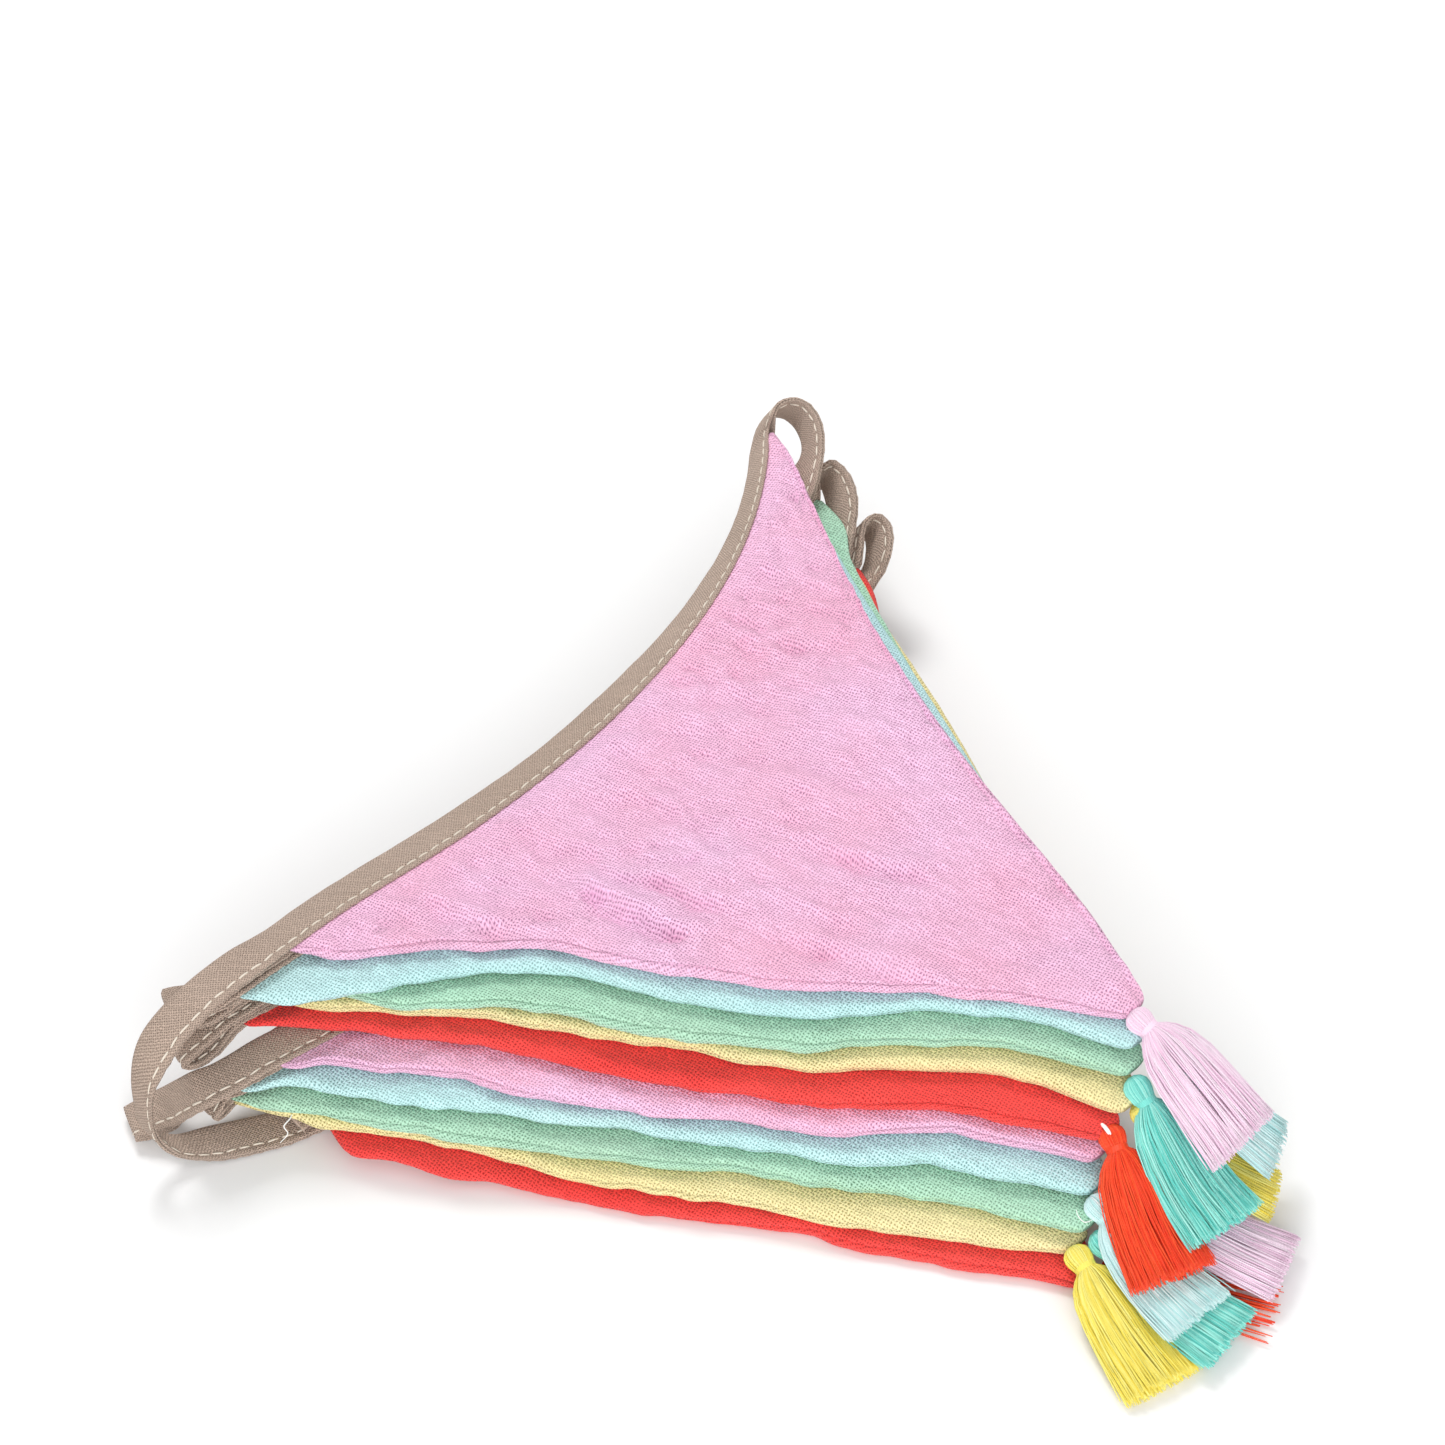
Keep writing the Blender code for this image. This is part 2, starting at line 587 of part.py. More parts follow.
def grow_strand(shape, corners, tassel, start, column, row):
    """Draws one cell of the collar out into a flat strand of the skirt."""
    across_share = (column + 0.5) / STRANDS_ACROSS - 0.5
    up_share = (row + 0.5) / STRAND_LAYERS - 0.5
    uneven = 0.965 + 0.035 * math.sin(column * 2.4 + row * 1.7 + tassel.end_x)
    root = sum((corner.co for corner in corners), Vector()) / 4
    ring = [shape.verts.new(root.lerp(corner.co, 0.72)) for corner in corners]
    for step in range(4):
        following = (step + 1) % 4
        shape.faces.new((corners[step], corners[following], ring[following], ring[step]))
    for share in STRAND_STEPS:
        along = mix(COLLAR_AT, uneven, share)
        middle, sideways, upward = tassel_frame(tassel, start, along)
        spread = mix(COLLAR_WIDE, tassel.wide, (along - COLLAR_AT) / (1 - COLLAR_AT))
        half_wide = spread / STRANDS_ACROSS * 0.39
        half_tall = tassel.thick / STRAND_LAYERS * 0.4
        centre = middle + sideways * across_share * spread + upward * up_share * tassel.thick
        following_ring = []
        for side, up in ((-1, -1), (1, -1), (1, 1), (-1, 1)):
            place = centre + sideways * side * half_wide + upward * up * half_tall
            following_ring.append(shape.verts.new(to_part(place)))
        for step in range(4):
            following = (step + 1) % 4
            shape.faces.new((ring[step], ring[following], following_ring[following], following_ring[step]))
        ring = following_ring
    shape.faces.new(ring)


def make_tassel(number):
    """A tied head with a skirt of strands, drawn out of the head's lower face."""
    tassel = TASSELS[number - 1]
    tip = cloth_point(number, 0.5, CLOTH_ROWS[-1])
    plan = unit(tassel.end_x - tip.x, tassel.end_y - tip.y)
    start = Vector((tip.x, tip.y, 0)) + plan * (TIP_GAP + 1.0)
    shape = bmesh.new()
    rings = [tassel_ring(shape, tassel_frame(tassel, start, along), wide, wide * HEAD_FLAT)
             for along, wide in HEAD_PROFILE]
    for near, far in zip(rings, rings[1:]):
        for step in range(len(near)):
            following = (step + 1) % len(near)
            shape.faces.new((near[step], near[following], far[following], far[step]))
    shape.faces.new(rings[0])
    grid = collar_grid(shape, tassel_frame(tassel, start, COLLAR_AT), tassel.thick)
    border = [*grid[0], *(line[-1] for line in grid[1:-1]), *reversed(grid[-1]),
              *(line[0] for line in reversed(grid[1:-1]))]
    ring_edges = edges_of_loop(shape, rings[-1])
    border_edges = edges_of_loop(shape, border)
    bmesh.ops.bridge_loops(shape, edges=ring_edges + border_edges)
    for row in range(STRAND_LAYERS):
        for column in range(STRANDS_ACROSS):
            corners = (grid[row][column], grid[row][column + 1],
                       grid[row + 1][column + 1], grid[row + 1][column])
            grow_strand(shape, corners, tassel, start, column, row)
    return add_object(tassel.name, shape, tassel.colour, 0.8)


def edges_of_loop(shape, verts):
    edges = []
    for vert, following in zip(verts, [*verts[1:], verts[0]]):
        edge = shape.edges.get((vert, following))
        edges.append(edge or shape.edges.new((vert, following)))
    return edges


def main():
    for thing in list(bpy.data.objects):
        bpy.data.objects.remove(thing, do_unlink=True)
    for layer in range(1, 11):
        make_pennant(layer)
    make_tape()
    for number in range(1, 11):
        make_tassel(number)


main()
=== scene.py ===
"""Dresses the folded garland: gauze pennants, stitched bias tape, thread tassels and a pale studio.

Tables are in millimetres, measured from the point that the stack is laid out around.
"""
import math
from collections import namedtuple
from functools import partial

import bpy
import numpy as np
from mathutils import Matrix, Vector


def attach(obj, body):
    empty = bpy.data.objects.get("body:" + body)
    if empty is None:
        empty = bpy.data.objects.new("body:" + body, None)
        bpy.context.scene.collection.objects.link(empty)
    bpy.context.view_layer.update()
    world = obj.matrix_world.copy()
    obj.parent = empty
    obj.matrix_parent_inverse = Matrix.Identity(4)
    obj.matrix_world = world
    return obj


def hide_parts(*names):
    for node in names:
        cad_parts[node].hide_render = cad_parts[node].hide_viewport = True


bl_info = {
    "name": "Folded Tassel Garland",
    "version": (1, 0, 0),
    "blender": (4, 5, 0),
    "location": "3D View > Sidebar > Garland",
    "description": "Makes the cloth, tape, stitches and tassels of a folded pennant garland",
    "category": "Object",
}

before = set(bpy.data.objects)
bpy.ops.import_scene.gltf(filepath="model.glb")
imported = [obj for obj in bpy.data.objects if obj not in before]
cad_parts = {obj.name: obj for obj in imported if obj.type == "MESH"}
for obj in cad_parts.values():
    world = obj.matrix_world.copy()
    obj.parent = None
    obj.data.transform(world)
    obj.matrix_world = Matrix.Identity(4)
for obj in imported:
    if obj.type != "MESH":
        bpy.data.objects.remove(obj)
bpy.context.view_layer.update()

MM = 0.001
CENTRE = np.array((-4.9, -56.8, 0.0))
LAYERS = 10

CLOTH_AIR = 0.34
LAYER_PITCH_AT_TAPE = 3.3
LAYER_PITCH_INSIDE = 4.1
LOWEST_MID = 1.65
TAPE_WIDE = 9.5
TAPE_HALF_ON_CLOTH = 1.2
TAPE_HALF_FREE = 0.72
TAPE_STEP = 1.35
STITCH_FROM_EDGE = 1.9
STITCH_PITCH = 3.4
EDGE_ARC_CENTRE = (-227, 102)
EDGE_ARC_RADIUS = 242

CLOTH_LENGTH = 172.0
SLOT_ROWS = (-6.0, -3.0, -0.6)
ROW_SLANT = 0.87
TOP_SHEET_RELIEF = 1.9
OTHER_RELIEF = 0.5
LOWEST_POINT = 0.05
LOWEST_THREAD = 0.25
TOP_GRID = (176, 166)
OTHER_GRID = (104, 26)
UP = np.array((0.0, 0.0, 1.0))


def rows_of(kind, *rows):
    """A table's rows with the names of its columns."""
    return tuple(kind(*row) for row in rows)


TipRow = namedtuple("TipRow", "share thick wide")
TIP_ROWS = rows_of(
    TipRow,
    (0.957, 0.9, 0.97),
    (0.961, 0.7, 0.9),
    (0.964, 0.35, 0.78),
)
# The top pennant's tape tilts by TOP_TAPE_TILT instead, so its own row has no tilt.
Pennant = namedtuple("Pennant", "near_left far tip front_left front_right "
                                "bound_bow bound_skew side_bow bulge tilt_far tilt_from tilt_near")
PENNANTS = rows_of(
    Pennant,
    ((-93, -99.5), (12, 67.4), (92, -119.2), 8.4, 3.3, 20.5, 20, 7.9, 0.5, 0, 1, 0),
    ((-103.5, -109.5), (21, 43.5), (92.6, -125), 9, 5, 13, 12, 2.2, 0, 12, 0.9, 0),
    ((-102, -107), (23.3, 49.8), (91.8, -128.8), 6, 5, 13, 6, 2.8, 2.8, 35, 0.75, 0),
    ((-97, -104.5), (30.5, 32), (90.3, -135.6), 4, 6, 12, 0, -2.5, 0.8, 12, 0.9, 0),
    ((-103.5, -109), (33, 33), (86.1, -139.6), 6, 4.5, 10, 0, 5.8, 1.2, 9, 0.85, 0),
    ((-95.5, -117.5), (35.3, 27), (83.8, -142.4), 6, 7, 12, 0, 2, 0, 5, 0.85, 0),
    ((-104, -121.5), (32, 26.5), (83.4, -147.9), 4.3, 5.3, 11, 8, 2, 0, 2, 0.85, 10),
    ((-106, -121.5), (31, 25), (81.8, -154.7), 0, 4, 10, 8, 2, 0, 0, 1, 16),
    ((-106, -120), (28, 24), (79.3, -156.8), -2, 0, 10, 8, 1, 0, 0, 1, 16),
    ((-88, -121), (27, 22), (80.4, -162.5), -2, -3, 8, 0, 1, 0, 0, 1, 0),
)
SEAM_HEIGHTS = (
    (1, 1, 1, 1, 0.9),
    (0.1, 0.1, 0.1, 0.2, 0.3),
    (0.6, 0.9, 1, 0.8, 0.6),
    (0.6, 0.6, 0.4, 0.2, 0.4),
    (0, 0.1, 0.3, 0.9, 0.9),
    (0.8, 0.8, 0.2, 0.7, 0.8),
    (0.1, 0.1, 0.2, 0.3, 0.4),
    (0.4, 0.9, 0.8, 0.4, 0.5),
    (0.5, 0.7, 0.7, 0.5, 0.6),
    (0.1, 0.2, 0.5, 0.9, 0.9),
)
FRONT_STATIONS = (-86, -63, -40, -17, 6, 30, 53, 76)
FRONT_FORWARD = (
    (1.5, 1, 2, 4.6, 0.7, -1.8, 0.3, 1),
    (1, -1, -3.5, -3, -4, -4.5, -3.5, -3.5),
    (-1.5, 3, 3, 3.5, 1, -1, 0, -0.5),
    (0.3, 1.5, 2.1, 0.3, -1, -1.4, -0.3, -1.5),
    (-1.3, 2.3, 3.4, 2.5, 0, 0.7, 1.8, 1),
    (-2, 1.5, 5.5, 4, -1, 1.5, 3, 0.5),
    (-2.5, 2.5, 2, -1.5, -2.5, 0.5, 2, 1),
    (0, 1, -0.5, -1, -3, -1, 0.5, 0),
    (0.5, -1, -0.5, 2, 2, 2, 1.5, 1),
    (7, 6.5, 2.5, 2.5, 2.5, 0.5, -1.5, -2.5),
)
Crease = namedtuple("Crease", "start_x start_y end_x end_y half height bow")
CREASES = rows_of(
    Crease,
    (-32, -81, -6, -100, 2.0, -1.4, 1.5),
    (-17, -79.5, 2, -92, 1.8, -1.0, 1),
    (16, -71.5, 46, -82.5, 2.0, -0.8, 1),
    (-64, -86, -44, -96, 2.0, -0.9, 1.5),
    (2, -48, 30, -62, 3.0, 0.6, -2),
    (-46, -62, -26, -75, 2.4, -0.6, 1),
    (12, -98, 44, -110, 2.0, -0.8, 1),
)
TOP_TAPE_STATIONS = (0, 0.3, 0.5, 0.58, 0.65, 0.75, 0.85, 1)
TOP_TAPE_TILT = (8, 8, 8, 12, 20, 30, 43, 58)

Pair = namedtuple("Pair", "open_x open_y open_z fold_x fold_y fold_z")
TIE = rows_of(
    Pair,
    (-71, -110, 1.2, -76.5, -102, 1.2),
    (-79, -115.5, 1.2, -84.5, -107.5, 1.2),
    (-88, -121, 1.2, -92.5, -112.5, 1.3),
    (-94, -124, 1.2, -98, -115.5, 1.4),
    (-99.5, -126, 1.2, -104, -117.5, 1.8),
    (-105, -127.5, 1.3, -111, -120.8, 3.4),
    (-111, -128.6, 1.8, -118, -125.4, 6.6),
    (-116, -129.4, 3.8, -122, -126.4, 10),
    (-119.5, -129.4, 7.6, -124.8, -126.8, 15),
    (-121, -129, 12.4, -125, -126.4, 20.5),
    (-121, -128.6, 18.2, -125.2, -124.4, 25.6),
    (-120.2, -127.2, 23.8, -124.6, -121.2, 29.8),
    (-117.2, -124, 28.6, -123, -117.4, 32.2),
    (-113.5, -119.6, 32, -119.9, -112.8, 33.6),
    (-108.5, -114.4, 34.4, -115.6, -108, 35),
    (-103.3, -109.2, 35.7, -110, -102.4, 35.9),
    (-98.2, -104.4, 36.1, -104.8, -97.6, 36),
)
LOOP_PINK_AQUA = rows_of(
    Pair,
    (12.6, 68.5, 35.6, 8.8, 71.8, 27.6),
    (14, 71, 36.8, 11.5, 75, 28.4),
    (17, 72.3, 37.2, 14.5, 74.8, 28.4),
    (20.2, 71, 37.3, 17, 72.2, 28.5),
    (22.6, 67.5, 37.2, 18.8, 68, 28.5),
    (24, 62.5, 36.9, 19.5, 63.3, 28.6),
    (24.3, 57.5, 36, 18.8, 59.5, 28.6),
    (23.8, 52.5, 34.2, 17, 56, 28.8),
    (22.8, 48, 32, 15, 52.5, 29),
)
LOOP_GREEN_YELLOW = rows_of(
    Pair,
    (23.2, 53.5, 28.3, 19.5, 55.5, 19.8),
    (24.4, 57, 29.6, 22.5, 58.5, 20.4),
    (26.4, 58.3, 30, 24, 57.6, 21),
    (28.6, 56.6, 30.2, 24.6, 54.6, 21.8),
    (30.6, 53.2, 30.2, 25, 51.2, 22.8),
    (32, 49, 29.8, 25.4, 47.2, 22.8),
    (32.4, 44.8, 28.6, 25.4, 43.6, 22.2),
    (31.9, 40.5, 26.6, 24.6, 41, 20.8),
    (31.2, 36, 24.6, 22.8, 39.2, 21.8),
)
LOOP_RED_PINK = rows_of(
    Pair,
    (33.6, 36.5, 22.6, 26.5, 39.5, 17.4),
    (34, 40.5, 24.2, 29.2, 43.5, 16.6),
    (35, 43.6, 24.6, 32.5, 46.5, 15.9),
    (37, 45.2, 24.7, 34.6, 45.5, 15.8),
    (39.2, 44, 24.6, 34.8, 43, 16.4),
    (40.7, 40, 24, 34.6, 39, 16.8),
    (40.4, 35.5, 22.8, 34, 36, 16),
    (39, 31.5, 20.4, 32.6, 34.8, 14.6),
    (37.2, 29.3, 18, 29.6, 34, 15.4),
)
LONG_BEND = rows_of(
    Pair,
    (-103.5, -122.8, 18.8, -106.5, -114, 19.3),
    (-107.5, -124.6, 17.6, -110.2, -115.6, 18.2),
    (-111, -125.4, 15, -113.6, -116, 17.4),
    (-115, -124.6, 10.2, -117, -115, 14),
    (-119.3, -123.4, 5.6, -122, -114, 8.6),
    (-124.5, -123.6, 3.8, -128, -114.8, 4.2),
    (-126.5, -124, 2.5, -130.2, -115.2, 2.8),
    (-124.5, -122.6, 1.2, -128, -113.8, 1.4),
    (-119.5, -121, 2, -122.3, -112, 2.8),
    (-114.8, -120.8, 8, -118.2, -112, 8.4),
    (-111, -121.6, 12.2, -115, -113, 11.8),
    (-107.6, -122.2, 15.1, -112.4, -114, 14.1),
)
BEND_AQUA_GREEN = rows_of(
    Pair,
    (-107, -111.5, 32.2, -112, -103.4, 31.8),
    (-111, -112, 31, -115, -103.4, 30.6),
    (-115, -111.5, 29.4, -118.5, -102.7, 29),
    (-117.3, -111, 27.6, -120.6, -102.1, 27.2),
    (-115.2, -111.2, 25.9, -118.4, -102.3, 25.6),
    (-111, -111.5, 26.4, -114.8, -102.8, 26.1),
    (-106.5, -110, 28, -111.6, -102, 27.7),
)
BEND_YELLOW_RED = rows_of(
    Pair,
    (-101, -107.5, 26, -106.2, -99.5, 25.8),
    (-105, -110.4, 25.6, -110, -102.3, 25.4),
    (-109, -113.3, 23.8, -113.6, -105, 23.8),
    (-112.6, -116, 22, -117, -107.6, 22.2),
    (-115, -117.6, 20.2, -119.2, -109.2, 18.8),
    (-112.6, -116.4, 18.6, -117, -108, 17),
    (-109, -114.2, 19.4, -113.6, -106, 17.8),
)
BEND_GREEN_YELLOW = rows_of(
    Pair,
    (-107.6, -122.8, 11.4, -112.8, -116, 8.8),
    (-108.7, -123.2, 9.5, -113.8, -116.2, 6.8),
    (-107.8, -121.6, 7.9, -113.2, -114.8, 5.2),
)
HIDDEN_BEND_WAY = (-0.60, 0.80)
HIDDEN_BEND_REACH = 12
BEND_ROWS = ((0.4, 0.0), (0.8, 0.0), (0.97, 0.2), (1.05, 0.5), (0.97, 0.8), (0.8, 1.0), (0.4, 1.0))

Tassel = namedtuple("Tassel", "head_x head_y end_x end_y z_start z_third z_two_thirds z_end wide thick")
TASSELS = rows_of(
    Tassel,
    (86, -117, 110, -138.5, 38.8, 35, 28.6, 21.5, 18.4, 5.0),
    (89.5, -124, 118.6, -133.4, 35, 29.8, 19.5, 11.5, 14, 4.0),
    (86, -127.5, 105.8, -154, 30, 23, 15.4, 12, 17.6, 4.6),
    (86.5, -132.3, 118, -140.5, 26.3, 17.4, 10, 5, 12.5, 4.0),
    (81, -134.8, 94.2, -165, 22.8, 18, 12, 10, 17.4, 4.4),
    (82, -142, 119, -158.5, 17.6, 10.2, 6, 4, 16, 4.0),
    (77.2, -147, 99.5, -172, 14.2, 10.2, 6.9, 6.3, 16.5, 3.4),
    (77.8, -153, 106, -176, 9.5, 5, 3.8, 3.7, 16.5, 3.4),
    (73.4, -154.8, 91.6, -186, 7, 5.2, 2.4, 1.8, 17, 3.8),
    (80, -156, 116.5, -168, 2.1, 1.9, 1.25, 1.25, 14, 2.2),
)
HeadRow = namedtuple("HeadRow", "along wide tall")
TASSEL_SHAPE = rows_of(
    HeadRow,
    (0.0, 1.6, 1.4),
    (0.015, 4.0, 3.4),
    (0.04, 5.6, 4.8),
    (0.07, 6.0, 5.2),
    (0.1, 5.7, 5.0),
    (0.125, 5.1, 4.6),
    (0.145, 4.7, 4.2),
    (0.165, 4.8, 4.2),
    (0.2, 7.8, 4.8),
    (0.25, 10.8, 5.1),
    (0.34, 13.8, 5.2),
    (0.48, 15.8, 5.2),
    (0.65, 17.0, 5.2),
    (0.85, 18.2, 5.2),
    (1.0, 19.2, 5.0),
)


def smooth_step(amount):
    amount = np.clip(amount, 0.0, 1.0)
    return amount * amount * (3 - 2 * amount)


def mix(start, end, amount):
    return start + (end - start) * amount


def gaps(points):
    """Distances between neighbours along rows of points."""
    return np.linalg.norm(np.diff(points, axis=-2), axis=-1)


def summed(steps):
    """Distances so far along rows of steps, from 0."""
    return np.concatenate((np.zeros((*steps.shape[:-1], 1)), np.cumsum(steps, axis=-1)), axis=-1)


def read_off(at, knots, places):
    """Places at wanted distances, from rows of places at their knots."""
    return np.stack([np.interp(at, knots, places[:, axis]) for axis in range(3)], axis=-1)


class SoftNoise:
    """Smooth random hills on a plane, the same in every run."""

    COUNT = 64

    def __init__(self, seed):
        self.hills = np.random.default_rng(seed).uniform(-1.0, 1.0, (self.COUNT, self.COUNT))

    def at(self, x, y):
        left = np.floor(x).astype(int)
        below = np.floor(y).astype(int)
        rows = [mix(self.hills[left % self.COUNT, row % self.COUNT],
                    self.hills[(left + 1) % self.COUNT, row % self.COUNT],
                    smooth_step(x - left)) for row in (below, below + 1)]
        return mix(rows[0], rows[1], smooth_step(y - below))


BROAD = SoftNoise(3)
FINE = SoftNoise(11)


def inward_of_corner(x, y):
    """Distance in from the near left corner, square to the bound edges."""
    return (x + 100) * 0.75 - (y + 108) * 0.66


def pitch_at(x, y):
    return mix(LAYER_PITCH_AT_TAPE, LAYER_PITCH_INSIDE, smooth_step(inward_of_corner(x, y) / 67))


def mid_height(layer, x, y):
    """Height of a pennant's middle surface in the stack, as the solids have it."""
    level = LAYERS - layer
    over_tie = 2.9 * (1 - smooth_step((np.hypot(x + 88, y + 114) - 18) / 46))
    height = LOWEST_MID + over_tie + level * pitch_at(x, y)
    if level:
        by_bends = 1.6 * (1 - smooth_step((inward_of_corner(x, y) + 3) / 33))
        outside = EDGE_ARC_RADIUS - np.hypot(x - EDGE_ARC_CENTRE[0], y - EDGE_ARC_CENTRE[1])
        fall = 2.6 * smooth_step((outside + 3) / 16) * smooth_step((y + 75) / 50)
        sway = 0.9 * np.sin(x / 31.0 + 0.6) * np.cos(y / 37.0 + 0.4)
        height = height + by_bends + (sway - fall) * level / 9
    return height


def unit(vectors):
    return vectors / np.maximum(np.linalg.norm(vectors, axis=-1, keepdims=True), 1e-9)


def bound_edge(layer, along):
    """Places and inward directions of a pennant's bound edge, 0 at the near left corner."""
    row = PENNANTS[layer - 1]
    along = np.asarray(along, dtype=float)[..., None]
    start = np.array((*row.near_left, 0.0))
    run = np.array((*row.far, 0.0)) - start
    inward = unit(np.array((run[1], -run[0], 0.0)))
    shape = 4 * along * (1 - along)
    bow_size = row.bound_bow + row.bound_skew * (along - 0.5)
    slope = 4 * (1 - 2 * along) * bow_size + shape * row.bound_skew
    place = start + run * along + inward * shape * bow_size
    travel = run + inward * slope
    across = unit(np.stack((travel[..., 1], -travel[..., 0], np.zeros(travel.shape[:-1])), axis=-1))
    place[..., 2] = mid_height(layer, place[..., 0], place[..., 1])
    outer = place - across * TAPE_WIDE
    across[..., 2] = (place[..., 2] - mid_height(layer, outer[..., 0], outer[..., 1])) / TAPE_WIDE
    across = unit(across)
    tilt = row.tilt_far * smooth_step((along - row.tilt_from) / max(0.02, (1 - row.tilt_from) * 0.75))
    if layer == 1:
        tilt = np.interp(along, TOP_TAPE_STATIONS, TOP_TAPE_TILT)
    tilt = np.radians(tilt + row.tilt_near * smooth_step(1 - along / 0.14))
    across = across * np.cos(tilt) + UP * np.sin(tilt)
    return place, unit(across)


def lobe(along, middle, half):
    near = np.clip((along - middle) / half, -1, 1)
    return np.cos(math.pi * near / 2) ** 2


def front_forward(layer, x, along, towards_tip):
    """How far a pennant's front edge lies forward of its plain line, fading into the cloth."""
    values = np.array(FRONT_FORWARD[layer - 1], dtype=float)
    step = FRONT_STATIONS[1] - FRONT_STATIONS[0]
    spot = np.clip((x - FRONT_STATIONS[0]) / step, 0.0, len(values) - 1.001)
    number = np.floor(spot).astype(int)
    forward = mix(values[number], values[number + 1], smooth_step(spot - number))
    ends = smooth_step(towards_tip / 0.05) * (1 - smooth_step((towards_tip - 0.85) / 0.13))
    return forward * ends * np.exp(-along * (1 - towards_tip) * 6.5)


def cloth_place(layer, along, towards_tip):
    """Points of a pennant's middle surface, between its bound edge and its tip."""
    row = PENNANTS[layer - 1]
    edge, _ = bound_edge(layer, along)
    place = edge + (np.array((*row.tip, 0.0)) - edge) * towards_tip[..., None]
    front = row.front_left * lobe(towards_tip, 0.3, 0.3) + row.front_right * lobe(towards_tip, 0.8, 0.2)
    side = row.side_bow * np.sin(math.pi * np.minimum(1.0, towards_tip * 1.15) ** 1.15) ** 1.5
    place[..., 1] += front * (1 - along) - front_forward(layer, place[..., 0], along, towards_tip)
    place[..., 0] -= side * along - row.bulge * lobe(towards_tip, 0.05, 0.075) * along ** 4
    place[..., 2] = mid_height(layer, place[..., 0], place[..., 1])
    return place


def signed_volume(points, faces):
    corners = points[faces]
    total = 0.0
    for second, third in ((1, 2), (2, 3)):
        total += np.einsum("ij,ij->i", corners[:, 0], np.cross(corners[:, second], corners[:, third])).sum()
    return total


def tidy_corners(faces, uv):
    """Faces as lists of different corners, with the places of those corners in the map."""
    kept_faces = []
    kept_uv = []
    for face, spots in zip(faces.tolist(), uv):
        keep = [number for number in range(4) if face[number] != face[number - 1]]
        if len(keep) > 2:
            kept_faces.append([face[number] for number in keep])
            kept_uv.append(spots[keep])
    return kept_faces, np.concatenate(kept_uv)


def end_faces(ring, turn):
    """Faces that close a round end, from the numbers of its corners."""
    last = len(ring) - 1
    rows = [[ring[0], ring[step], ring[step + 1], ring[min(step + 2, last)]] for step in range(1, last, 2)]
    return [row[::turn] for row in rows]


def add_piece(name, points, faces, uv, material):
    """One mesh object from rows of four-cornered faces, in metres, with faces pointing outwards."""
    faces = np.asarray(faces)
    if signed_volume(points, faces) < 0:
        faces = faces[:, ::-1]
        uv = uv[:, ::-1]
    faces, uv = tidy_corners(faces, uv)
    mesh = bpy.data.meshes.new(name)
    mesh.from_pydata(points.tolist(), [], faces)
    cloth = mesh.uv_layers.new(name="Cloth")
    cloth.data.foreach_set("uv", np.ascontiguousarray(uv, dtype=np.float32).ravel())
    mesh.validate()
    mesh.shade_smooth()
    piece = bpy.data.objects.new(name, mesh)
    bpy.context.scene.collection.objects.link(piece)
    mesh.materials.append(material)
    return piece


def to_part(points):
    return (points - CENTRE) * MM


ROLL_SHARES = (0.93, 0.75, 0.5, 0.25, 0.0)
FLAT_STEPS = (2.8, 3.6, 5.0, 8.0)
ROLL_RADIUS = 2.3
SEAM_DEPTH = 0.5


def roll_points(seam_angle, half, upper):
    """Distances in from the edge and heights of one lip, from the seam to the flat of the cloth."""
    top = half if upper else -half
    far_angle = math.pi / 2 if upper else -math.pi / 2
    seam_in = ROLL_RADIUS * (1 - np.cos(seam_angle))
    seam_up = half * np.sin(seam_angle)
    away = np.hypot(ROLL_RADIUS - seam_in, seam_up)
    steps = [(seam_in + (ROLL_RADIUS - seam_in) * SEAM_DEPTH / away, seam_up * (1 - SEAM_DEPTH / away))]
    for share in ROLL_SHARES:
        angle = mix(far_angle, seam_angle, share)
        swell = 1 + 0.05 * np.sin(math.pi * share)
        steps.append((ROLL_RADIUS * (1 - np.cos(angle) * swell), half * np.sin(angle) * swell))
    for inwards in FLAT_STEPS:
        steps.append((np.full_like(half, inwards), top))
    return [np.stack(values, axis=-1) for values in zip(*steps)]


def seam_angle_at(layer, towards_tip):
    """How far up the rolled front edge the seam lies, by share of the way to the tip."""
    seam = SEAM_HEIGHTS[layer - 1]
    height = np.interp(towards_tip, np.linspace(0, 1, len(seam)), seam)
    height = height + 0.12 * FINE.at(towards_tip * 9 + layer * 7.3, layer)
    return np.radians(mix(-50, 60, np.clip(height, 0, 1.1)))


def crease(row, x, y):
    """One long crease: a bowed hollow with a soft ridge along one side."""
    run = np.array((row.end_x - row.start_x, row.end_y - row.start_y))
    reach = np.hypot(*run)
    run = run / reach
    ahead = (x - row.start_x) * run[0] + (y - row.start_y) * run[1]
    aside = (y - row.start_y) * run[0] - (x - row.start_x) * run[1]
    side = (aside + row.bow * np.sin(ahead / reach * math.pi)) / row.half
    inside = smooth_step((ahead + 3) / 9) * (1 - smooth_step((ahead - reach + 6) / 9))
    return row.height * inside * (np.exp(-side ** 2) - 0.5 * np.exp(-((side - 1.9) / 1.1) ** 2))


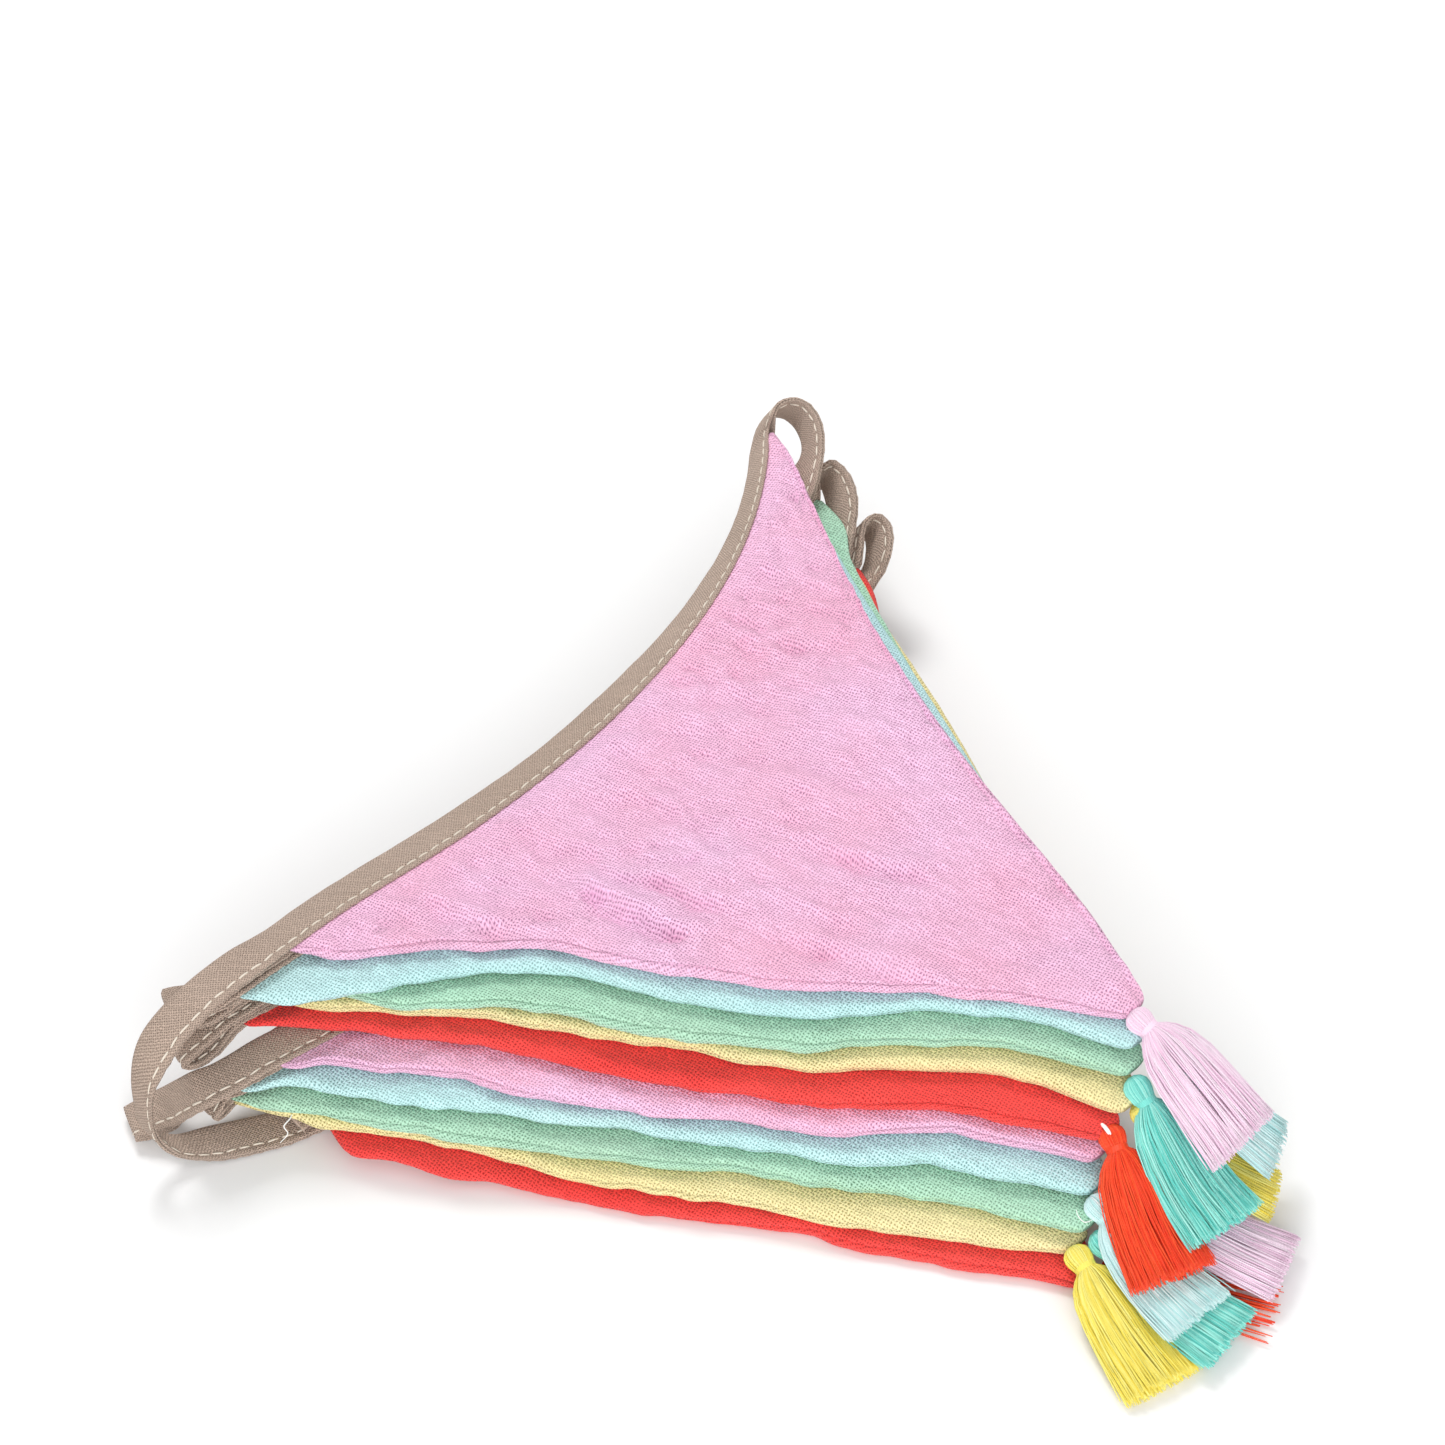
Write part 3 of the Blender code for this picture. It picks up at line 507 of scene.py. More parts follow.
def crinkle(layer, x, y, from_tape):
    """Puckers of washed gauze: short dimples by the tape and long soft creases further in."""
    along = x * 0.56 + y * 0.83
    across = x * 0.83 - y * 0.56
    wander = 3.0 * BROAD.at(x / 19 + 5, y / 19 + layer)
    dimples = FINE.at((along + wander) / 2.5 + layer * 9, across / 4.0 + 3)
    near_tape = smooth_step((from_tape - 1.5) / 5) * (1 - 0.75 * smooth_step((from_tape - 40) / 45))
    patchy = 0.6 + 0.4 * BROAD.at(x / 26 + 8, y / 26 + layer * 3)
    level_x = x * 0.87 - y * 0.49
    level_y = x * 0.49 + y * 0.87
    creases = FINE.at(level_x / 22 + 7, (level_y + wander) / 4.2 + layer * 5)
    creases = creases - 0.3 * np.abs(FINE.at(level_x / 30 + 17, (level_y + wander) / 7.5 + layer * 3))
    small = FINE.at(level_x / 3.6 + 31, (level_y + wander * 0.5) / 2.2 + layer * 8)
    broad = BROAD.at(x / 34 + 4, y / 30 + 2)
    relief = dimples * near_tape * patchy + 0.34 * creases * (1.25 - patchy) + 0.3 * small + 0.45 * broad
    if layer == 1:
        for row in CREASES:
            relief = relief + crease(row, x, y)
    return relief


def pennant_mesh(layer, rows, middle_columns):
    """Two gauze panels sewn along two sides and turned: ring by ring from the slot to the tip."""
    slot = len(SLOT_ROWS)
    tip = np.array(TIP_ROWS)
    from_tape_rows = np.concatenate((SLOT_ROWS, np.linspace(0.6, 6.0, 6)))
    shares = np.concatenate((from_tape_rows / CLOTH_LENGTH, np.linspace(0.045, 0.952, rows), tip[:, 0]))
    inside = np.maximum(shares, 0)
    ends_u = np.stack([np.zeros_like(shares), np.ones_like(shares)], axis=-1)
    ends = cloth_place(layer, ends_u, np.repeat(inside[:, None], 2, axis=1))
    width = np.linalg.norm(ends[:, 1] - ends[:, 0], axis=-1)
    middle = (ends[:, 0] + ends[:, 1]) / 2
    half_rows = (pitch_at(middle[:, 0], middle[:, 1]) - CLOTH_AIR) / 2
    half_rows = mix(0.45, half_rows, smooth_step((shares * CLOTH_LENGTH + 0.4) / 9) ** 0.7)
    half_rows = half_rows * mix(1, 0.8, smooth_step((shares - 0.9) / 0.05))
    half_rows[-len(tip):] *= tip[:, 1]
    pinch = np.ones(len(shares))
    pinch[-len(tip):] = tip[:, 2]
    seam_front = seam_angle_at(layer, inside)
    seam_side = np.full(len(shares), np.radians(55 if layer == 1 else 20))
    span = width * ROW_SLANT
    shrink = np.minimum(1, 0.42 * width * ROW_SLANT / FLAT_STEPS[-1])
    grid = {}
    for upper in (True, False):
        front_in, front_up = roll_points(seam_front, half_rows, upper)
        side_in, side_up = roll_points(seam_side, half_rows, upper)
        front_u = front_in * (shrink / span)[:, None]
        side_u = 1 - side_in * (shrink / span)[:, None]
        shape = np.linspace(0, 1, middle_columns + 2)[1:-1]
        if layer > 1:
            shape = (1 - np.cos(math.pi * shape)) / 2
        middle_u = front_u[:, -1:] + (side_u[:, -1:] - front_u[:, -1:]) * shape[None, :]
        u = np.concatenate((front_u, middle_u, side_u[:, ::-1]), axis=1)
        level = np.repeat((half_rows if upper else -half_rows)[:, None], middle_columns, axis=1)
        up = np.concatenate((front_up, level, side_up[:, ::-1]), axis=1)
        edge_in = u * span[:, None]
        fade = np.minimum(7.0, 0.18 * width * ROW_SLANT)[:, None]
        t = np.repeat(inside[:, None], u.shape[1], axis=1)
        held_u = mix(0.5, mix(0.006, 0.994, u), pinch[:, None])
        place = cloth_place(layer, held_u, t)
        flat = place.copy()
        edge, across = bound_edge(layer, held_u[:slot])
        thick_way = unit(np.cross(across, np.gradient(edge, axis=1)))
        thick_way = np.where(thick_way[..., 2:3] < 0, -thick_way, thick_way)
        place[:slot] = edge + across * from_tape_rows[:slot, None, None]
        flat[:slot] = place[:slot]
        lift = np.zeros_like(place)
        lift[..., 2] = 1
        lift[:slot] = thick_way
        lift[slot] = unit(thick_way[-1] + UP)
        from_tape = np.repeat((shares * CLOTH_LENGTH)[:, None], u.shape[1], axis=1)
        free = smooth_step((from_tape - 0.5) / 5)
        x, y = flat[..., 0], flat[..., 1]
        relief = crinkle(layer, x, y, from_tape)
        strength = OTHER_RELIEF
        if layer == 1 and upper:
            strength = TOP_SHEET_RELIEF
            side_seam = 0.36 * np.exp(-(((1 - u) * span[:, None] - 2.7) / 0.6) ** 2)
            relief = relief - side_seam * (u > 0.5)
        wave = BROAD.at(x / 23 + layer * 1.7, y / 40 + layer * 3.1)
        place += lift * (up + free * relief * strength * np.clip(np.abs(up) / 1.2, 0.2, 1))[..., None]
        ripple = 0.55 * FINE.at(t * 19 + layer * 5, layer) + 0.35 * FINE.at(t * 41 + layer * 9, 3 * layer)
        sway_out = free * np.exp(-edge_in / fade) * ripple
        place[..., 1] -= 1.3 * sway_out * mix(1, 0.3, smooth_step((t - 0.8) / 0.15))
        place[..., 2] += 0.25 * free * wave * min(1.0, (LAYERS - layer) / 2)
        place[..., 2] = np.maximum(place[..., 2], LOWEST_POINT)
        arc = summed(np.hypot(np.diff(front_in, axis=1), np.diff(front_up, axis=1)))
        extra = (arc[:, -1:] - arc) - (front_in[:, -1:] - front_in)
        cloth = flat[..., :2].copy()
        cloth[:, :extra.shape[1], 1] -= np.maximum(extra, 0)
        cloth[:, -extra.shape[1]:, 0] += np.maximum(extra[:, ::-1], 0)
        grid[upper] = (place, cloth)
    return grid


def cells(grid):
    """The four corners of every cell in a grid of numbers or places."""
    corners = np.stack((grid[:-1, :-1], grid[:-1, 1:], grid[1:, 1:], grid[1:, :-1]), axis=2)
    return corners.reshape(-1, *corners.shape[2:])


def round_cells(grid):
    """Cells of a grid of numbers whose last column meets its first."""
    return cells(np.concatenate((grid, grid[:, :1]), axis=1))


def map_cells(rows, columns):
    """Corners, in a cloth map, of the cells between rows and columns."""
    return cells(np.stack(np.meshgrid(rows, columns, indexing="ij"), axis=-1))


def ring_faces(first, second):
    """Faces of the upper sheet, of the lower sheet and of both closed ends."""
    faces = [cells(first), cells(second)[:, ::-1]]
    for row, turn in ((0, 1), (-1, -1)):
        quads = np.stack((first[row, :-1], second[row, :-1], second[row, 1:], first[row, 1:]), axis=-1)
        faces.append(quads[:, ::turn])
    return faces


def make_pennant_piece(layer, material):
    rows, middle_columns = TOP_GRID if layer == 1 else OTHER_GRID
    grid = pennant_mesh(layer, rows, middle_columns)
    upper, upper_cloth = grid[True]
    lower, lower_cloth = grid[False]
    count_rows, count_columns = upper.shape[:2]
    both = (upper[:, (0, -1)] + lower[:, (0, -1)]) / 2
    upper[:, (0, -1)] = both
    first = np.arange(count_rows * count_columns).reshape(count_rows, count_columns)
    inner = np.arange(count_rows * (count_columns - 2)).reshape(count_rows, count_columns - 2) + first.size
    second = np.concatenate((first[:, :1], inner, first[:, -1:]), axis=1)
    points = to_part(np.concatenate((upper.reshape(-1, 3), lower[:, 1:-1].reshape(-1, 3))))
    faces = ring_faces(first, second)
    first_uv = np.zeros((len(points), 2))
    first_uv[first.ravel()] = upper_cloth.reshape(-1, 2) * MM
    second_uv = first_uv.copy()
    second_uv[second.ravel()] = lower_cloth.reshape(-1, 2) * MM
    maps = (first_uv, second_uv, first_uv, first_uv)
    uv = np.concatenate([spots[quads] for spots, quads in zip(maps, faces)])
    return add_piece("gauze_pennant_%d" % layer, points, np.concatenate(faces), uv, material)


TapeCurve = namedtuple("TapeCurve", "opened across thick_way half on_cloth length")


def catmull(values, knots, wanted):
    """A smooth curve through rows of values at their knots."""
    slopes = np.gradient(values, knots, axis=0)
    spot = np.clip(np.searchsorted(knots, wanted, side="right") - 1, 0, len(knots) - 2)
    step = (knots[spot + 1] - knots[spot])[:, None]
    share = (wanted - knots[spot])[:, None] / step
    square = share ** 2
    cube = share ** 3
    return (values[spot] * (2 * cube - 3 * square + 1) + slopes[spot] * step * (cube - 2 * square + share)
            + values[spot + 1] * (3 * square - 2 * cube) + slopes[spot + 1] * step * (cube - square))


def tape_rows():
    """Open edge, folded edge and grip on the cloth, all along the tape."""
    rows = []

    def add_pairs(given):
        for pair in given:
            rows.append((np.array(pair[:3], dtype=float), np.array(pair[3:], dtype=float), 0.0))

    def cloth_rows(layer, from_near):
        stations = np.linspace(0, 1, 25)
        place, across = bound_edge(layer, stations)
        run = [(spot, spot - way * TAPE_WIDE, 1.0) for spot, way in zip(place, across)]
        return run if from_near else run[::-1]

    turns = (LOOP_PINK_AQUA, BEND_AQUA_GREEN, LOOP_GREEN_YELLOW, BEND_YELLOW_RED, LOOP_RED_PINK,
             LONG_BEND, None, BEND_GREEN_YELLOW, None)
    add_pairs(TIE)
    for layer in range(1, LAYERS + 1):
        rows.extend(cloth_rows(layer, layer % 2 == 1))
        if layer == LAYERS:
            break
        turn = turns[layer - 1]
        if turn:
            add_pairs(turn)
            continue
        before = rows[-1]
        after = cloth_rows(layer + 1, layer % 2 == 0)[0]
        way = unit(np.array((*HIDDEN_BEND_WAY, 0.0)))
        for reach, level in BEND_ROWS:
            shift = way * HIDDEN_BEND_REACH * reach
            opened, folded = [mix(before[side], after[side], level) + shift for side in (0, 1)]
            rows.append((opened, folded, 0.0))
    last = rows[-1]
    run_out = unit(last[0] - rows[-3][0]) * 3
    rows.append((last[0] + run_out, last[1] + run_out, 0.0))
    return rows


def tape_curve():
    rows = tape_rows()
    opened = np.array([row[0] for row in rows])
    folded = np.array([row[1] for row in rows])
    grip = np.array([row[2] for row in rows])
    middle = (opened + folded) / 2
    knots = summed(np.maximum(0.3, gaps(middle)))
    wanted = np.linspace(0, knots[-1], int(knots[-1] / TAPE_STEP))
    opened = catmull(opened, knots, wanted)
    folded = catmull(folded, knots, wanted)
    on_cloth = smooth_step(np.interp(wanted, knots, grip))
    middle = (opened + folded) / 2
    across = unit(opened - folded)
    opened = middle + across * TAPE_WIDE / 2
    travel = unit(np.gradient(middle, axis=0))
    thick_way = unit(np.cross(travel, across))
    length = summed(gaps(middle))
    half = mix(TAPE_HALF_FREE, TAPE_HALF_ON_CLOTH, on_cloth)
    return TapeCurve(opened, across, thick_way, half, on_cloth, length)


TAPE_PROFILE = ((9.5, 0.0), (9.42, 0.45), (9.1, 0.8), (8.2, 0.98), (6.4, 1.0), (4.4, 1.0), (2.9, 0.98),
                (2.2, 0.84), (1.9, 0.72), (1.6, 0.84), (1.0, 1.0), (0.3, 0.96), (0.02, 0.7))


def make_tape_piece(curve, material):
    """The folded tape with its stitched channel, its soft open lips and the slot between them."""
    wave = 0.5 + 0.5 * np.cos(math.tau * curve.length / STITCH_PITCH)
    puff = 0.06 * FINE.at(curve.length / 6.0, 0) + 0.05 * FINE.at(curve.length / 2.1, 5)
    slot_gap = mix(0.06, 0.52, curve.on_cloth)
    slot_deep = mix(1.0, 7.0, curve.on_cloth)
    outline = []
    for side in (1, -1):
        points = []
        for inwards, high in TAPE_PROFILE[0 if side == 1 else 1:]:
            stitch_dip = np.exp(-((inwards - STITCH_FROM_EDGE) / 0.55) ** 2) * 0.12 * wave
            scallop = 0.26 * wave * np.exp(-inwards / 0.8)
            points.append((inwards + scallop, side * (curve.half * high * (1 + puff) - stitch_dip)))
        points.append((0.1 + 0.16 * wave, side * slot_gap))
        points.append((slot_deep, side * slot_gap * 0.85))
        outline.extend(points[::side])
    rings = np.stack([curve.opened - curve.across * inwards[:, None] + curve.thick_way * height[:, None]
                      for inwards, height in outline], axis=1)
    rings[..., 2] = np.maximum(rings[..., 2], LOWEST_POINT)
    count, around = rings.shape[:2]
    index = np.arange(count * around).reshape(count, around)
    profile_arc = summed(gaps(rings[count // 2]))
    uv = map_cells(curve.length, np.append(profile_arc, profile_arc[-1] + 0.5)) * MM
    caps = []
    for row, turn in ((0, 1), (count - 1, -1)):
        for step in range((around + 1) // 2):
            caps.append([index[row, step], index[row, (around - step) % around],
                         index[row, around - step - 1], index[row, step + 1]][::turn])
    faces = np.concatenate((round_cells(index), caps))
    uv = np.concatenate((uv, np.zeros((len(caps), 4, 2))))
    return add_piece("stitched_bias_tape", to_part(rings.reshape(-1, 3)), faces, uv, material)


def sample_curve(curve, at):
    opened, across, thick_way = [read_off(at, curve.length, row) for row in curve[:3]]
    return opened, unit(across), unit(thick_way), np.interp(at, curve.length, curve.half)


StitchRow = namedtuple("StitchRow", "along girth sink")
STITCH_SHAPE = rows_of(
    StitchRow,
    (-1.0, 0.1, -0.40),
    (-0.82, 0.22, -0.04),
    (-0.3, 0.26, 0.06),
    (0.3, 0.26, 0.06),
    (0.82, 0.22, -0.04),
    (1.0, 0.1, -0.40),
)
STITCH_HALF = 1.42


def tube_faces(count, rings, sides):
    """Faces of many round threads with as many rings and sides each, and closed ends."""
    index = np.arange(rings * sides).reshape(rings, sides)
    ends = end_faces(index[0], -1) + end_faces(index[-1], 1)
    one = np.concatenate((round_cells(index), ends))
    return (one + (np.arange(count) * rings * sides)[:, None, None]).reshape(-1, 4)


def make_stitches_piece(curve, material):
    """Running stitches on both faces of the tape, each a short thread that dips at its ends."""
    points = []
    sides = 5
    table = np.array(STITCH_SHAPE)
    steps, girth, sink = table[:, 0], table[:, 1], table[:, 2]
    centres = np.arange(STITCH_PITCH, curve.length[-1] - STITCH_PITCH, STITCH_PITCH) + STITCH_PITCH / 2
    for face in (1, -1):
        for number, centre in enumerate(centres):
            opened, across, thick_way, half = sample_curve(curve, centre + steps * STITCH_HALF)
            sideways = 0.16 * math.sin(number * 2.3 + face) * steps
            line = opened - across * (STITCH_FROM_EDGE + sideways)[:, None]
            line = line + thick_way * (face * (half * 0.74 + sink))[:, None]
            ring = []
            for turn in range(sides):
                angle = math.tau * turn / sides
                ring.append(line + across * (math.cos(angle) * girth)[:, None]
                            + thick_way * (math.sin(angle) * girth)[:, None])
            points.append(np.stack(ring, axis=1).reshape(-1, 3))
    rings = len(steps)
    ends = [[(step, turn) for turn in range(4)] for step in (0, 0, rings - 1, rings - 1)]
    one = np.concatenate((map_cells(range(rings), range(sides + 1)), ends)) * MM * 0.4
    faces = tube_faces(len(points), rings, sides)
    uv = np.tile(one, (len(points), 1, 1))
    return add_piece("tape_stitches", to_part(np.concatenate(points)), faces, uv, material)


def tassel_heights(tassel, along):
    """Height along a tassel: one smooth curve through its four heights."""
    knots = np.array((0.0, 1 / 3, 2 / 3, 1.0))
    heights = np.array((tassel.z_start, tassel.z_third, tassel.z_two_thirds, tassel.z_end))[:, None]
    return catmull(heights, knots, np.clip(along, 0, 1))[:, 0]


def tassel_axis(number, along):
    """Middle line, sideways and upward directions of a tassel at shares of its length."""
    tassel = TASSELS[number - 1]
    start = np.array((tassel.head_x, tassel.head_y, 0.0))
    end = np.array((tassel.end_x, tassel.end_y, 0.0))
    way = unit(end - start)
    middle = start + (end - start) * along[:, None]
    middle[:, 2] = tassel_heights(tassel, along)
    travel = np.gradient(middle, axis=0)
    sideways = np.array((-way[1], way[0], 0.0))
    upward = unit(np.cross(travel, sideways))
    upward = np.where(upward[:, 2:3] < 0, -upward, upward)
    return middle, sideways, upward


THREAD_SPOTS = np.array((0.0, 0.015, 0.04, 0.07, 0.1, 0.125, 0.145, 0.165,
                         0.2, 0.25, 0.34, 0.48, 0.62, 0.76, 0.9, 1.0))
HELD_SPOTS = 10
CORE_SHARE = 0.27
GOLDEN_ANGLE = 2.39996
NECK_WRAPS = 4


def tubes(lines, girths, sides, shades):
    """Thin round threads along many lines at once, with the shade of each kept in its map."""
    count, rings = lines.shape[:2]
    travel = unit(np.gradient(lines, axis=1))
    side_way = unit(np.cross(travel, UP) + 1e-6)
    up_way = unit(np.cross(side_way, travel))
    angles = math.tau * np.arange(sides) / sides
    ring = side_way[:, :, None] * np.cos(angles)[:, None] + up_way[:, :, None] * np.sin(angles)[:, None]
    points = lines[:, :, None] + ring * girths[:, :, None, None]
    faces = tube_faces(count, rings, sides)
    u = np.repeat(summed(gaps(lines)).ravel(), sides) * MM
    v = np.repeat(shades, rings * sides)
    return points.reshape(-1, 3), faces, np.stack((u[faces], v[faces]), axis=-1)


def add_tubes(name, sets, material):
    """One piece from several sets of threads."""
    faces = []
    count = 0
    for points, corners, _ in sets:
        faces.append(corners + count)
        count += len(points)
    points, _, uv = [np.concatenate(rows) for rows in zip(*sets)]
    return add_piece(name, to_part(points), np.concatenate(faces), uv, material)


def make_tassel_piece(number, threads, material):
    """Threads that run over the round head, through the tied neck and out into the skirt."""
    tassel = TASSELS[number - 1]
    rng = np.random.default_rng(40 + number)
    middle, sideways, upward = tassel_axis(number, THREAD_SPOTS)
    table = np.array(TASSEL_SHAPE)
    skirt = smooth_step((THREAD_SPOTS - 0.16) / 0.2)
    wide = np.interp(THREAD_SPOTS, table[:, 0], table[:, 1]) * mix(1.0, tassel.wide / 17.0, skirt)
    tall = np.interp(THREAD_SPOTS, table[:, 0], table[:, 2])
    tall = np.minimum(tall, mix(tall, tassel.thick, skirt))
    order = np.arange(threads)
    angle = order * GOLDEN_ANGLE + rng.normal(0, 0.05, threads)
    core = int(threads * CORE_SHARE)
    shell = (order - core + 0.5) / (threads - core)
    radius = np.where(order < core, 0.78 * np.sqrt((order + 0.5) / core), np.sqrt(mix(0.66, 1.0, shell)))
    radius = radius * rng.uniform(0.97, 1.02, threads)
    across = np.cos(angle) * radius
    high = np.sin(angle) * radius
    drift = rng.normal(0, 0.04, (threads, 2))
    stray = rng.uniform(0, 1, threads) < 0.03
    drift[stray] *= 5
    lines = np.zeros((threads, len(THREAD_SPOTS), 3))
    reach = rng.uniform(0.955, 1.0, threads)
    reach[stray] = rng.uniform(0.85, 1.0, np.count_nonzero(stray))
    for step, spot in enumerate(THREAD_SPOTS):
        grown = skirt[step]
        bend = np.sin(spot * 6 + order * 1.7) * 0.03 * grown
        out = across + drift[:, 0] * grown * spot + bend
        up = high + drift[:, 1] * grown * spot
        lines[:, step] = (middle[step] + np.outer(out * wide[step] / 2, sideways)
                          + np.outer(up * tall[step] / 2, upward[step]))
    for thread in range(threads):
        spots = THREAD_SPOTS * reach[thread]
        spots[:HELD_SPOTS] = THREAD_SPOTS[:HELD_SPOTS]
        lines[thread] = read_off(spots, THREAD_SPOTS, lines[thread])
    shades = rng.uniform(0, 1, threads)
    thin = np.interp(THREAD_SPOTS, (0, 0.05, 0.15, 0.4, 0.95, 1), (0.12, 0.18, 0.16, 0.21, 0.22, 0.14))
    girths = np.outer(rng.uniform(0.8, 1.15, threads) * np.where(order < core, 1.6, 0.8), thin)
    lines[..., 2] = np.maximum(lines[..., 2], LOWEST_THREAD)
    skirt_tubes = tubes(lines, girths, 3, shades)
    turns = np.linspace(0, NECK_WRAPS * math.tau, NECK_WRAPS * 16)
    neck, _, neck_up = tassel_axis(number, mix(0.138, 0.17, turns / turns[-1]))
    coil = (neck + np.outer(np.cos(turns) * 2.35, sideways) + neck_up * (np.sin(turns) * 2.1)[:, None])[None]
    coil[..., 2] = np.maximum(coil[..., 2], LOWEST_THREAD)
    neck_tube = tubes(coil, np.full((1, len(turns)), 0.2), 6, [0.35])
    return add_tubes("thread_tassel_%d" % number, (skirt_tubes, neck_tube), material)


LooseThread = namedtuple("LooseThread", "girth points")
LOOSE_THREADS = rows_of(
    LooseThread,
    (0.16, ((-92.6, -122, 9.6), (-93.1, -122.9, 9), (-94.5, -123.4, 7), (-93.8, -123.9, 5),
            (-95.5, -125.2, 3.4))),
    (0.06, ((85.5, -119, 37), (84.5, -120.7, 36), (83.6, -120.9, 34), (84.7, -121.4, 33),
            (86.1, -121.6, 34))),
    (0.5, ((79.6, -135.6, 24.6), (80.3, -136.5, 24.6), (81, -137.4, 24.2), (81.5, -138, 23.8))),
    (0.12, ((74.2, -149.8, 13.6), (74.6, -151, 13), (75.9, -152, 12.2), (77.6, -151.3, 12.2),
            (78, -150, 13))),
)


def make_loose_threads(material):
    """Snipped ends of sewing thread that hang from the seams."""
    ends = []
    for row in LOOSE_THREADS:
        given = np.array(row.points, dtype=float)
        knots = np.arange(len(given), dtype=float)
        line = catmull(given, knots, np.linspace(0, knots[-1], 30))[None]
        girths = row.girth * np.sin(np.linspace(0.06, math.pi - 0.06, 30))[None] ** 0.3
        ends.append(tubes(line, girths, 6, [0.8]))
    return add_tubes("loose_threads", ends, material)


def add_node(tree, kind, inputs, **traits):
    """A shader node with its own traits, fed by sockets or plain values."""
    node = tree.nodes.new("ShaderNode" + kind)
    for name, value in traits.items():
        setattr(node, name, value)
    feed(tree, node, inputs)
    return node


def feed(tree, node, inputs):
    """Sets or links a node's inputs, given by name or number."""
    for name, value in inputs.items():
        if hasattr(value, "is_output"):
            tree.links.new(value, node.inputs[name])
        else:
            node.inputs[name].default_value = value


def link_math(tree, operation, *values):
    return add_node(tree, "Math", dict(enumerate(values)), operation=operation).outputs[0]


def noise(tree, place, scale, detail, output=0):
    inputs = {"Vector": place, "Scale": scale, "Detail": detail}
    return add_node(tree, "TexNoise", inputs).outputs[output]


def map_range(tree, value, ends, **traits):
    """A value moved from one range to another, by the two ends of each."""
    return add_node(tree, "MapRange", dict(enumerate((value, *ends))), **traits).outputs[0]


def colour_ramp(tree, source, colours, positions):
    ramp = add_node(tree, "ValToRGB", {0: source})
    for element, colour, position in zip(ramp.color_ramp.elements, colours, positions):
        element.color = (*colour, 1)
        element.position = position
    return ramp.outputs[0]


def bump_from(tree, height, strength, distance):
    return add_node(tree, "Bump", {"Strength": strength, "Distance": distance, "Height": height}).outputs[0]


def new_material(name, inputs):
    """A material with its shader's own inputs set, its tree and its shader."""
    material = bpy.data.materials.new(name)
    material.use_nodes = True
    shader = material.node_tree.nodes["Principled BSDF"]
    feed(material.node_tree, shader, inputs)
    return material, material.node_tree, shader


def weave_group():
    """Plain weave from a cloth map: yarn height, the share of open holes and the yarns' slubs."""
    group = bpy.data.node_groups.new("Plain Weave", "ShaderNodeTree")
    work = partial(link_math, group)
    face = group.interface
    face.new_socket("Map", in_out="INPUT", socket_type="NodeSocketVector")
    for name, value in (("Yarn Pitch", 0.0008), ("Turn", 0.0), ("Wander", 0.3)):
        socket = face.new_socket(name, in_out="INPUT", socket_type="NodeSocketFloat")
        socket.default_value = value
    for name in ("Height", "Hole", "Slub"):
        face.new_socket(name, in_out="OUTPUT", socket_type="NodeSocketFloat")
    given = group.nodes.new("NodeGroupInput").outputs
    end = group.nodes.new("NodeGroupOutput")
    cloth = add_node(group, "VectorRotate", {"Vector": given["Map"], "Angle": given["Turn"]},
                     rotation_type="Z_AXIS").outputs[0]
    wander = noise(group, cloth, 170.0, 2.0, "Color")
    jitter = noise(group, cloth, 1300.0, 0.0, "Color")
    split, sway, shake = [add_node(group, "SeparateXYZ", {0: source}).outputs
                          for source in (cloth, wander, jitter)]
    yarns = []
    squares = []
    for axis in (0, 1):
        count = work("DIVIDE", split[axis], given["Yarn Pitch"])
        shift = work("MULTIPLY", sway[axis], given["Wander"])
        spot = work("ADD", count, work("MULTIPLY", shift, 6.0))
        spot = work("MULTIPLY_ADD", shake[axis], 0.7, spot)
        squares.append(work("FLOOR", spot))
        yarns.append(work("ABSOLUTE", work("SINE", work("MULTIPLY", spot, math.pi))))
    parity = work("MODULO", work("ABSOLUTE", work("ADD", squares[0], squares[1])), 2.0)
    other = work("SUBTRACT", 1.0, parity)
    first = work("MULTIPLY", yarns[0], work("MULTIPLY_ADD", parity, 0.5, 0.5))
    second = work("MULTIPLY", yarns[1], work("MULTIPLY_ADD", other, 0.5, 0.5))
    solid = work("MAXIMUM", yarns[0], yarns[1])
    gap = map_range(group, solid, (0.25, 0.93, 1.0, 0.0), interpolation_type="SMOOTHSTEP")
    open_share = map_range(group, noise(group, cloth, 75.0, 3.0), (0.36, 0.64, 0.6, 1.0))
    long_way = add_node(group, "VectorMath", {0: cloth, 1: (0.16, 1.0, 1.0)}, operation="MULTIPLY")
    feed(group, end, {
        "Height": work("MAXIMUM", first, second),
        "Hole": work("MULTIPLY", gap, open_share),
        "Slub": noise(group, long_way.outputs[0], 900.0, 1.0),
    })
    return group


# The hole entry of a cloth look sets how strongly the weave's holes are darkened with painted shade.
ClothLook = namedtuple("ClothLook", "pitch turn wander hole_dark bump sheen")
# Painted shade: the open holes of the weave take a darker, deeper copy of the cloth's colour, standing in
# for the shade seen through them.
PAINTED_HOLE_SHADE = 0.55
PAINTED_HOLE_SHADE_POWER = 1.9


